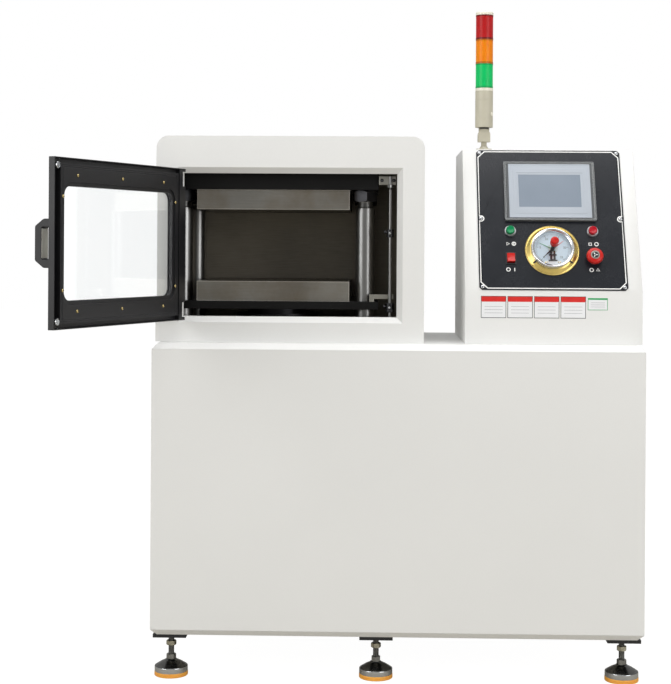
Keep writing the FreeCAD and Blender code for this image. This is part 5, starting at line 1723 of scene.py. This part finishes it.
@dataclass
class Gauge(Assembly):
    """The contact pressure gauge, modelled about its own axis."""

    place: Place = field(default_factory=panel_place)
    flange: float = 65.0
    case: float = 51.5
    well: float = 43.8
    bezel_drop: float = 2.6
    floor: float = 8.0
    front: float = 22.0
    back: float = -42.0
    scale_start: float = 225.0
    scale_span: float = -270.0
    numerals: tuple[str, ...] = ("0", "5", "10", "15", "20", "25")
    pointer_turn: float = 135.0

    def build(self) -> None:
        """Makes the body, the dial, the hands, the glass and the knob."""
        self.make_case()
        self.make_dial()
        self.make_contacts()
        self.make_hands()
        self.make_knob()

    def make_case(self) -> None:
        """The spun brass flange, the steel case, its clips and its glass."""
        ring = Piece.turned("gauge_flange_finished", [
            (self.case + 0.2, 2), (self.flange - 0.3, 2), (self.flange, 2.4), (self.flange, 3.8),
            (self.flange - 0.8, 4.6), (self.flange - 2.2, 4.6), (self.flange - 3.2, 3.9),
            (self.flange - 4.4, 4.2), (self.case + 3.2, 9.6), (self.case + 1.4, 10.8),
            (self.case + 0.2, 10.8)], sides=96, bore=True)
        self.keep(ring, BRASS, "gauge_brass", replaces=["gauge_flange"])
        rim, well = self.case, self.well
        shell = Piece.turned("gauge_case_finished", [
            (rim - 4, self.back), (rim - 1, self.back), (rim, self.back + 1), (rim, -0.5),
            (rim, 14), (rim - 0.5, 14.4), (rim - 0.5, 14.9), (rim, 15.3), (rim, 19),
            *arc((rim - 2.4, 19.4), 2.4, 0, 90, 4), (rim - 4, self.front - 0.35),
            (well + 0.5, self.front - self.bezel_drop), (well, self.front - self.bezel_drop - 0.6),
            (well, self.floor)], sides=96)
        self.keep(shell, POLISHED_STEEL, "hmi_grey", replaces=["gauge_case"])
        clip = Piece.block("gauge_clips", (-2.0, -2.5, 10.4), (2.0, 7.0, 12.2))
        clip.pick(Grip.FACES, facing((0, -1, 0))).extrude((0, 0, 3.2))
        clips = clip.rounded(0.5).copied(around(2, self.case + 1.0, 218.0, 104.0))
        self.keep(clips, BLACK_OXIDE, "hmi_grey")
        level = self.front - self.bezel_drop
        glass = Piece.turned("gauge_glass", [
            (5.6, level - 2.6), (well - 0.1, level - 2.6), (well - 0.1, level - 1.4),
            (well - 1.2, level - 0.9), (6.0, level - 0.6), (5.6, level - 1.0)], sides=96,
            bore=True)
        self.keep(glass, FLOAT_GLASS, "door_glass")

    def make_dial(self) -> None:
        """The enamelled plate and its scale."""
        floor, well = self.floor, self.well
        plate = Piece.turned("gauge_dial", [
            (well - 0.1, floor), (well - 0.1, floor + 0.5), (well - 0.5, floor + 0.8),
            (well - 3, floor + 0.8), (well - 3.4, floor + 0.6), (2.8, floor + 0.6)], sides=96)
        self.keep(plate, DIAL_ENAMEL, "hmi_grey")
        top = floor + 0.58
        reach = well - 3.4
        marks = []
        for count, half, length in ((len(self.numerals), 0.45, 6.0), (51, 0.22, 3.2)):
            tick = Piece.block("tick", (-half, -length, top), (half, 0, top + 0.12))
            marks.append(tick.copied(around(count, reach, self.scale_start, self.scale_span)))
        for number, text in enumerate(self.numerals):
            share = number / (len(self.numerals) - 1)
            angle = math.radians(self.scale_start + self.scale_span * share)
            spot = ((reach - 11) * math.cos(angle), (reach - 11) * math.sin(angle), top + 0.06)
            marks.append(Piece.lettered("numeral", text, 7.5, 0.12).placed(at(*spot)))
        self.keep(marks[0].joined(marks[1:], "gauge_scale"), BLACK_INK, "panel_plate", smooth=20)

    def make_contacts(self) -> None:
        """The limit contacts below the middle: a black tower on a terminal bracket."""
        floor = self.floor
        top = floor + 0.58
        tower = Piece.block("gauge_contact_tower", (-6.5, -28, top), (6.5, -4, floor + 3.0))
        tower.pick(Grip.FACES, facing(UP)).inset(2.0).inset(0.2, -1.2)
        bars = [Piece.block("bar", (-half, foot, top), (half, foot + 3.4, floor + 3.5))
                for half, foot in ((9.0, -17.0), (10.5, -31.5))]
        self.keep(tower.release().joined(bars).rounded(0.4), BLACK_OXIDE, "black_plastic")
        bracket = Piece.block(
            "gauge_terminal_bracket", (-20, -36.5, top), (20, -30.5, floor + 2.2))
        rows = [Piece.block("row", (-14.5, -40.8, top), (14.5, -37.2, floor + 2.6)),
                Piece.block("row", (-1.6, -26.5, top), (1.6, -6, floor + 2.6))]
        self.keep(bracket.joined(rows).rounded(0.4), SATIN_CHROME, "hmi_grey")
        heads = Screw(1.5, 0.9, Drive.SLOT).made("gauge_terminal_screws").copied(
            [at(x, -34.0, floor + 2.2) for x in (-17.5, -13.0, 13.0, 17.5)])
        self.keep(heads, SCREW_BRASS, "gauge_brass")
        spring = Piece.wire("gauge_hairspring", [
            ((3 + turn * 0.22) * math.cos(turn * 0.5), (3 + turn * 0.22) * math.sin(turn * 0.5),
             floor + 2.6) for turn in range(44)], 0.25)
        self.keep(spring, SCREW_BRASS, "gauge_brass")

    def make_hands(self) -> None:
        """The black pointer, and the red and green setting hands under it."""
        low = self.floor + 4.0
        hand = Piece.block("gauge_pointer_finished", (-2.2, -10, low), (2.2, 34, low + 1.1))
        hand.pick(Grip.FACES, facing((0, 1, 0))).resize((0.12, 1, 0.5), (0, 34, low))
        hand.pick(Grip.FACES, facing((0, -1, 0))).resize((1.5, 1, 1), (0, -10, low))
        hub = Piece.turned(
            "hub",
            [(4.6, low), (5, low + 0.3), (5, low + 1.1), (4.4, low + 1.5), (2.7, low + 1.5),
             (2.7, low)], sides=32, bore=True)
        hand.rounded(0.15, 1).joined([hub])
        turn = Matrix.Rotation(math.radians(self.pointer_turn), 4, "Z")
        self.keep(hand.placed(turn), BLACK_INK, "black_plastic", "gauge_pointer",
                  ["gauge_pointer"])
        for name, ink, angle, level in (("gauge_low_hand", GREEN_INK, 62.0, 1.5),
                                        ("gauge_high_hand", RED_INK, -52.0, 2.5)):
            low = self.floor + level
            hand = Piece.block(name, (-1.1, 4, low), (1.1, 35, low + 0.5))
            hand.pick(Grip.FACES, facing((0, 1, 0))).resize((0.3, 1, 1), (0, 35, low))
            hand.pick(Grip.FACES, facing((0, 0, 1))).inset(0.4, 0.1)
            turn = Matrix.Rotation(math.radians(angle), 4, "Z")
            self.keep(hand.placed(turn), ink, "red_plastic")

    def make_knob(self) -> None:
        """The red setting knob on its black stem."""
        low, high = self.front - 4.0, self.box("gauge_knob").high.z
        stem = Piece.turned("gauge_knob_stem", [
            (2.4, self.floor - 4.5), (2.4, low), (4.6, low), (5, low + 0.5), (5, low + 14),
            (4.4, low + 14.6), (4.4, low + 15.4), (5, low + 16), (5, high - 20)], sides=32)
        self.keep(stem, NYLON, "red_plastic", "gauge_knob", ["gauge_knob"])
        knob = Piece.turned("gauge_knob_finished", [
            (8.6, high - 20), (9.8, high - 19.2), (10, high - 18), (10, high - 5.5),
            *arc((5, high - 5), 5, 0, 80, 5), (3.0, high - 0.1), (2.4, high - 0.7),
            (0.8, high - 0.7)])
        knob.pick(Grip.FACES,
                  lambda centre, normal: abs(normal.z) < 0.2 and centre.z < high - 6
                  and math.hypot(centre.x, centre.y) > 9.5
                  and int(math.degrees(math.atan2(centre.y, centre.x)) // 7.5) % 2 == 0)
        knob.inset(0.15, -0.5, each=True)
        self.keep(knob.release(), SIGNAL_RED, "red_plastic", "gauge_knob")


@dataclass
class Switches(Assembly):
    """The push buttons, the emergency stop and the power rocker."""

    place: Place = field(default_factory=panel_place)
    collar: float = 14.0
    collar_top: float = 8.0
    barrel: float = 10.5
    barrel_foot: float = -30.0
    cap: float = 10.2
    head: float = 20.0

    def build(self) -> None:
        """Makes the collars and every button."""
        start = self.box("start_button")
        stop = self.box("stop_button")
        estop = self.box("estop_button")
        spots = [at(*box.centre.xy) for box in (start, stop, estop)]
        rim, cap, top = self.collar, self.cap, self.collar_top
        ring = Piece.turned("switch_collars_finished", [
            (cap + 0.4, 2.2), (rim, 2.2), (rim, 5.6), (rim - 0.6, 6.6), (rim - 1.2, top),
            (cap + 0.9, top), (cap + 0.4, top - 0.6)], bore=True)
        self.keep(ring.copied(spots), SATIN_CHROME, "hmi_grey", replaces=["switch_collars"])
        barrel = Piece.turned("switch_barrels", [
            (6.2, self.barrel_foot), (self.barrel - 0.5, self.barrel_foot),
            *thread(self.barrel, 0.5, 1.5, self.barrel_foot + 1, -1), (self.barrel, 2.4),
            (cap + 0.3, 2.4), (cap + 0.3, 3.4), (6.2, 3.4)], bore=True)
        self.keep(barrel.copied(spots), NYLON, "hmi_grey")
        for name, box, finish, slot in (
                ("start_button", start, GREEN_BUTTON, "green_plastic"),
                ("stop_button", stop, RED_BUTTON, "red_plastic")):
            self.make_button(name, box, finish, slot)
        self.make_estop(estop)
        self.make_rocker()

    def make_button(self, name: str, box: Box, finish: Finish, slot: str) -> None:
        """A push button with a dished face.

        Args:
            name: the CAD node and body.
            box: where it lies.
            finish: its surface.
            slot: the record's material slot.
        """
        cap, foot, top = self.cap, box.high.z - 8.0, box.high.z
        button = Piece.turned(name + "_finished", [
            (5, box.low.z), (6, box.low.z + 1), (6, foot), (cap - 0.3, foot), (cap, foot + 0.4),
            (cap, top - 2.0), *arc((cap - 1.6, top - 1.6), 1.6, 0, 90, 4)[1:],
            (cap - 2.8, top - 0.15), (cap - 4.4, top - 0.8), (4, top - 1.2), (1, top - 1.3)])
        self.keep(button.placed(at(*box.centre.xy)), finish, slot, name, [name])

    def make_estop(self, box: Box) -> None:
        """The mushroom head with its grey centre disc.

        Args:
            box: where it lies.
        """
        top, head = box.high.z, self.head
        foot = top - 13.0
        mushroom = Piece.turned("estop_button_finished", [
            (5, box.low.z), (6, box.low.z + 1), (6, foot - 7), (10, foot - 7), (10, foot),
            (head - 1.6, foot), (head - 0.4, foot + 0.6), (head, foot + 2), (head, top - 7),
            *arc((head - 6.0, top - 6.6), 6.0, 5, 72, 6), (12, top), (11.2, top),
            (10.8, top - 0.5), (10.8, top - 1.2), (1, top - 1.2)], sides=64)
        spot = at(*box.centre.xy)
        self.keep(mushroom.placed(spot), SIGNAL_RED, "red_plastic", "estop_button",
                  ["estop_button"])
        ring = Piece.turned("estop_ring", [
            (7.9, top - 1.2), (10.6, top - 1.2), (10.6, top - 0.4), (10.2, top - 0.1),
            (8.2, top - 0.1), (7.9, top - 0.4)], bore=True)
        self.keep(ring.placed(spot), ALUMINIUM, "hmi_grey", "estop_button")
        disc = Piece.turned("estop_disc", [
            (7.8, top - 1.2), (7.8, top - 0.7), (7.5, top - 0.5), (1, top - 0.5)])
        self.keep(disc.placed(spot), BLACK_OXIDE, "hmi_grey", "estop_button")
        bar = Piece.block("estop_bars", (-1.1, 1.2, top - 0.8), (1.1, 6.0, top - 0.3))
        bars = bar.rounded(0.2, 1).copied(around(3, 0.0)).placed(spot)
        self.keep(bars, WHITE_INK, "hmi_grey", "estop_button")

    def make_rocker(self) -> None:
        """The power rocker and its frame."""
        self.refine("rocker", 1.2, SIGNAL_RED, "red_plastic", "rocker", steps=3)
        rocker = self.box("rocker")
        x, y = rocker.centre.x, self.box("estop_button").centre.y
        bezel = Piece.tablet(
            "rocker_frame", (x - 12.5, y - 15.5, 2.0), (x + 12.5, y + 15.5, 4.0), 1.6, steps=3)
        bezel.pick(Grip.FACES, at_height(4.0)).inset(2.4).extrude((0, 0, -13))
        bezel.pick(Grip.FACES, at_height(2.0)).inset(2.1).extrude((0, 0, -24))
        self.keep(bezel.rounded(0.4), NYLON, "hmi_grey")


# ---- tower lamp

@dataclass
class TowerLamp(Assembly):
    """The folding tower lamp, modelled from the console top up."""

    place: Place = field(default_factory=lamp_place)
    radius: float = 22.0
    lens_radius: float = 21.5
    body_foot: float = 56.0
    body_top: float = 154.0
    lens_height: float = 60.5
    cap_height: float = 9.0
    ribs: int = 72
    low_band: float = 1.6
    shaded_rim_colours: dict[str, str] = field(default_factory=lambda: {
        "lamp_green": "#00A95B", "lamp_orange": "#C46A00", "lamp_red": "#7C1014"})
    plate_screw: Screw = Screw(2.4, 1.6)

    def build(self) -> None:
        """Makes the foot, the body, the three lenses and the cap."""
        self.refine("lamp_foot", 1.6, LAMP_ABS, "lamp_grey", steps=3)
        screws = self.plate_screw.made("lamp_foot_screws").copied(
            [at(0, 0, 2.9) @ spot for spot in around(3, 16.2, 30.0)])
        self.keep(screws, STAINLESS, "lamp_grey")
        self.make_body()
        foot = self.body_top
        for node, finish, slot in (("lamp_green", LENS_GREEN, "lens_green"),
                                   ("lamp_orange", LENS_ORANGE, "lens_orange"),
                                   ("lamp_red", LENS_RED, "lens_red")):
            self.make_lens(node, finish, slot, foot)
            foot += self.lens_height
        top = foot + self.cap_height
        cap = Piece.turned("lamp_cap", [
            (self.radius - 1, foot), (self.radius, foot + 0.5), (self.radius, top - 4),
            *arc((self.radius - 3.6, top - 3.8), 3.6, 0, 80, 5), (12, top - 0.05), (1, top)],
            sides=64)
        self.keep(cap, LAMP_CAP_ABS, "lamp_grey", "lamp")

    def make_body(self) -> None:
        """The round body with its seams, its tongue, a black throat of painted shade, a pale ring
        and a plug.
        """
        rim, low, high = self.radius, self.body_foot, self.body_top
        body = Piece.turned("lamp_body_finished", [
            (rim - 3, low), (rim - 0.8, low), (rim, low + 0.8), (rim, high - 31),
            (rim - 0.4, high - 30.6), (rim - 0.4, high - 30.1), (rim, high - 29.7),
            (rim, high - 8.2), (rim - 0.5, high - 7.8), (rim - 0.5, high - 7.2),
            (rim - 2, high - 7), (rim - 2, high - 2)], sides=64)
        tongue = Piece.block("tongue", (-13, -6.5, 37), (13, 6.5, low + 2)).rounded(0.8)
        knuckle = Piece.turned("knuckle", [
            (3.4, -6.5), (12.2, -6.5), (13, -5.7), (13, 5.7), (12.2, 6.5), (3.4, 6.5)], sides=48,
            bore=True).placed(towards((0, 0, 37), REAR))
        body.joined([tongue, knuckle])
        self.keep(body, LAMP_ABS, "lamp_grey", "lamp", ["lamp_body"])
        # A black ring in the body's mouth: painted shade in the gap under the body.
        throat = Piece.turned("lamp_throat", [
            (9, low - 3.2), (13.4, low - 3.2), (13.4, low + 0.5), (9, low + 0.5)])
        self.keep(throat, NYLON, "lamp_grey", "lamp")
        ring = Piece.turned("lamp_ring", [
            (rim - 2.5, high - 7.4), (rim - 0.2, high - 7.4), (rim, high - 7), (rim, high - 1),
            (rim - 0.6, high - 0.3), (rim - 2.5, high)], sides=64)
        self.keep(ring, LAMP_CAP_ABS, "lamp_grey", "lamp")
        plug = Piece.turned("lamp_plug", [(5, -1), (5, 0.6), (4.4, 1.1), (1, 1.2)], sides=32)
        side = (math.sin(math.radians(58)), -math.cos(math.radians(58)), 0)
        spot = Vector(side) * (rim - 0.4) + Vector((0, 0, low + 33))
        self.keep(plug.placed(towards(spot, side)), LAMP_CAP_ABS, "lamp_grey", "lamp")

    def make_lens(self, node: str, finish: Finish, slot: str, foot: float) -> None:
        """A ribbed lens with smooth ends, under darker sleeves that are painted shade.

        Args:
            node: the CAD node that it stands for.
            finish: its tint.
            slot: the record's material slot.
            foot: where it starts.
        """
        rim, top = self.lens_radius, foot + self.lens_height
        lens = Piece.turned(node + "_finished", [
            (rim - 2, foot), (rim - 0.2, foot), (rim, foot + 0.4), (rim, foot + 3.2),
            (rim - 0.5, foot + 3.8), (rim - 0.5, top - 3.8), (rim, top - 3.2), (rim, top - 0.4),
            (rim - 0.2, top), (rim - 2, top)], sides=self.ribs)
        middle = (foot + top) / 2
        lens.pick(Grip.FACES,
                  lambda centre, normal: abs(normal.z) < 0.2 and abs(centre.z - middle) < 1)
        lens.inset(0.28, 0.4, each=True)
        self.keep(lens.release(), finish, slot, "lamp", [node], smooth=25)
        # Darker sleeves over both ends of the lens, the lower one taller: painted shade where
        # lenses meet.
        sleeve = Piece.turned(node + "_sleeves", [
            (rim - 1, 0), (rim + 0.12, 0), (rim + 0.25, 0.3), (rim + 0.25, 2.5), (rim + 0.12, 2.8),
            (rim - 1, 2.8)], sides=self.ribs)
        deep = replace(finish, name=finish.name + "_rim", colour=self.shaded_rim_colours[node])
        tall = Matrix.Diagonal((1, 1, self.low_band, 1))
        self.keep(sleeve.copied([at(0, 0, foot + 0.1) @ tall, at(0, 0, top - 2.9)]), deep, slot,
                  "lamp")


@dataclass
class Hydraulics(Assembly):
    """The oil tank, its motor and pump, inside the cabinet."""

    def build(self) -> None:
        """Makes the tank, the motor and the filler cap."""
        self.refine("oil_tank", 2.0, GREY_ENAMEL, "tank_paint")
        self.refine("pump_motor", 2.0, GREY_ENAMEL, "tank_paint")
        tank = self.box("oil_tank")
        cap = Piece.turned("filler_cap", [
            (24.5, -6), (24.5, 0), (29, 0), (30, 1), (30, 12), (28.5, 14), (26, 14.6), (10, 14.6),
            (9, 13.8), (1, 13.8)])
        cap.pick(Grip.FACES, lambda centre, normal: abs(normal.z) < 0.2 and 2 < centre.z < 12)
        cap.inset(0.4, -0.5, each=True)
        spot = at(tank.low.x + 75, tank.low.y + 75, tank.high.z)
        self.keep(cap.placed(spot), NYLON, "tank_paint")


# ---- studio

@dataclass
class Studio:
    """The floor, the light and the camera."""

    lens_mm: float = 1500 / 684 * 36
    sensor_mm: float = 36.0
    shift: float = -95 / 684
    position_mm: tuple[float, float, float] = (-57.5, -3522.0, 1024.0)
    yaw: float = 1.47
    roll: float = 0.36
    world_light: float = 0.42
    glass_gain: float = 1.09
    floor_glow: float = 0.8
    floor_strength: float = 1.22

    def build(self) -> None:
        """Sets the whole studio up."""
        scene = bpy.context.scene
        scene.view_settings.view_transform = "Standard"
        self.make_camera()
        self.make_world()
        self.make_floor()
        for name, place, aim, size, power in (
                ("top_light", (0.2, -0.5, 3.6), (0.1, 0.0, 0.8), (3.2, 2.2), 72.0),
                ("left_light", (-3.2, -2.6, 2.0), (0.0, 0.2, 0.8), (2.0, 2.4), 58.0),
                ("right_light", (3.0, -3.0, 1.6), (0.0, 0.2, 0.8), (2.0, 2.4), 52.0)):
            self.make_light(name, place, aim, size, power)

    def make_camera(self) -> None:
        """Stands the camera in front of the machine."""
        scene = bpy.context.scene
        data = bpy.data.cameras.new("camera")
        data.sensor_fit, data.sensor_height, data.lens = "VERTICAL", self.sensor_mm, self.lens_mm
        data.shift_y = self.shift
        camera = bpy.data.objects.new("camera", data)
        scene.collection.objects.link(camera)
        yaw, roll = math.radians(self.yaw), math.radians(self.roll)
        ahead = Vector((-math.sin(yaw), math.cos(yaw), 0))
        level, top = Vector((math.cos(yaw), math.sin(yaw), 0)), Vector(UP)
        across = level * math.cos(roll) + top * math.sin(roll)
        above = top * math.cos(roll) - level * math.sin(roll)
        turn = Matrix((across, above, -ahead)).transposed().to_4x4()
        position = machine_place().matrix @ Vector(self.position_mm)
        camera.matrix_world = Matrix.Translation(position) @ turn
        scene.camera = camera

    def make_world(self) -> None:
        """A soft surrounding light that is plain white wherever it is looked at."""
        world = bpy.data.worlds.new("studio")
        bpy.context.scene.world = world
        tree = fresh_tree(world)
        path = add_node(tree, "ShaderNodeLightPath").outputs
        plain = add_node(tree, "ShaderNodeMapRange", inputs={
            "Value": path["Is Camera Ray"], "To Min": self.world_light, "To Max": 1.0})
        strength = add_node(tree, "ShaderNodeMix", inputs={
            "Factor": path["Is Transmission Ray"], "A": plain.outputs[0], "B": self.glass_gain})
        glow = add_node(tree, "ShaderNodeBackground", inputs={
            "Color": linear("#FFFFFF"), "Strength": strength.outputs[0]})
        add_node(tree, "ShaderNodeOutputWorld", inputs={"Surface": glow.outputs[0]})

    def make_floor(self) -> None:
        """A plain pale floor that keeps the machine's shadow."""
        deselect_all()
        bpy.ops.mesh.primitive_plane_add(size=40.0, location=(0, 0, 0))
        floor = bpy.context.active_object
        floor.name = "floor"
        material = bpy.data.materials.new("pale_floor")
        tree = fresh_tree(material)
        matt = add_node(tree, "ShaderNodeBsdfDiffuse", inputs={"Color": linear("#C2BEB4")})
        glow = add_node(tree, "ShaderNodeEmission", inputs={
            "Color": linear("#FFFFFF"), "Strength": self.floor_strength})
        path = add_node(tree, "ShaderNodeLightPath").outputs
        seen = add_node(tree, "ShaderNodeMath", {"operation": "MAXIMUM"}, {
            0: path["Is Camera Ray"], 1: path["Is Transmission Ray"]})
        share = add_node(tree, "ShaderNodeMath", {"operation": "MULTIPLY"}, {
            0: seen.outputs[0], 1: self.floor_glow})
        mixed = add_node(tree, "ShaderNodeMixShader", inputs={
            0: share.outputs[0], 1: matt.outputs[0], 2: glow.outputs[0]})
        add_node(tree, "ShaderNodeOutputMaterial", inputs={"Surface": mixed.outputs[0]})
        floor.data.materials.append(material)

    def make_light(self, name: str, place: Point, aim: Point, size: Point, power: float) -> None:
        """Hangs a soft box.

        Args:
            name: the light's name.
            place: where it hangs, in metres.
            aim: the point that it faces.
            size: its width and height.
            power: its power in watts.
        """
        data = bpy.data.lights.new(name, "AREA")
        data.shape, data.size, data.size_y = "RECTANGLE", *size
        data.energy = power
        light = bpy.data.objects.new(name, data)
        light.matrix_world = (Matrix.Translation(place) @ (Vector(aim) - Vector(place))
                              .to_track_quat("-Z", "Y").to_matrix().to_4x4())
        bpy.context.scene.collection.objects.link(light)


def main() -> None:
    """Builds every sub-assembly in order, then the studio."""
    logging.basicConfig(level=logging.INFO, format="%(message)s")
    for kind in (Cabinet, Feet, Housing, Press, Door, Console, Panel, Terminal, Gauge, Switches,
                 TowerLamp, Hydraulics):
        LOG.info("-- %s", kind.__name__)
        kind().build()
    Studio().build()


if __name__ == "__main__":
    main()
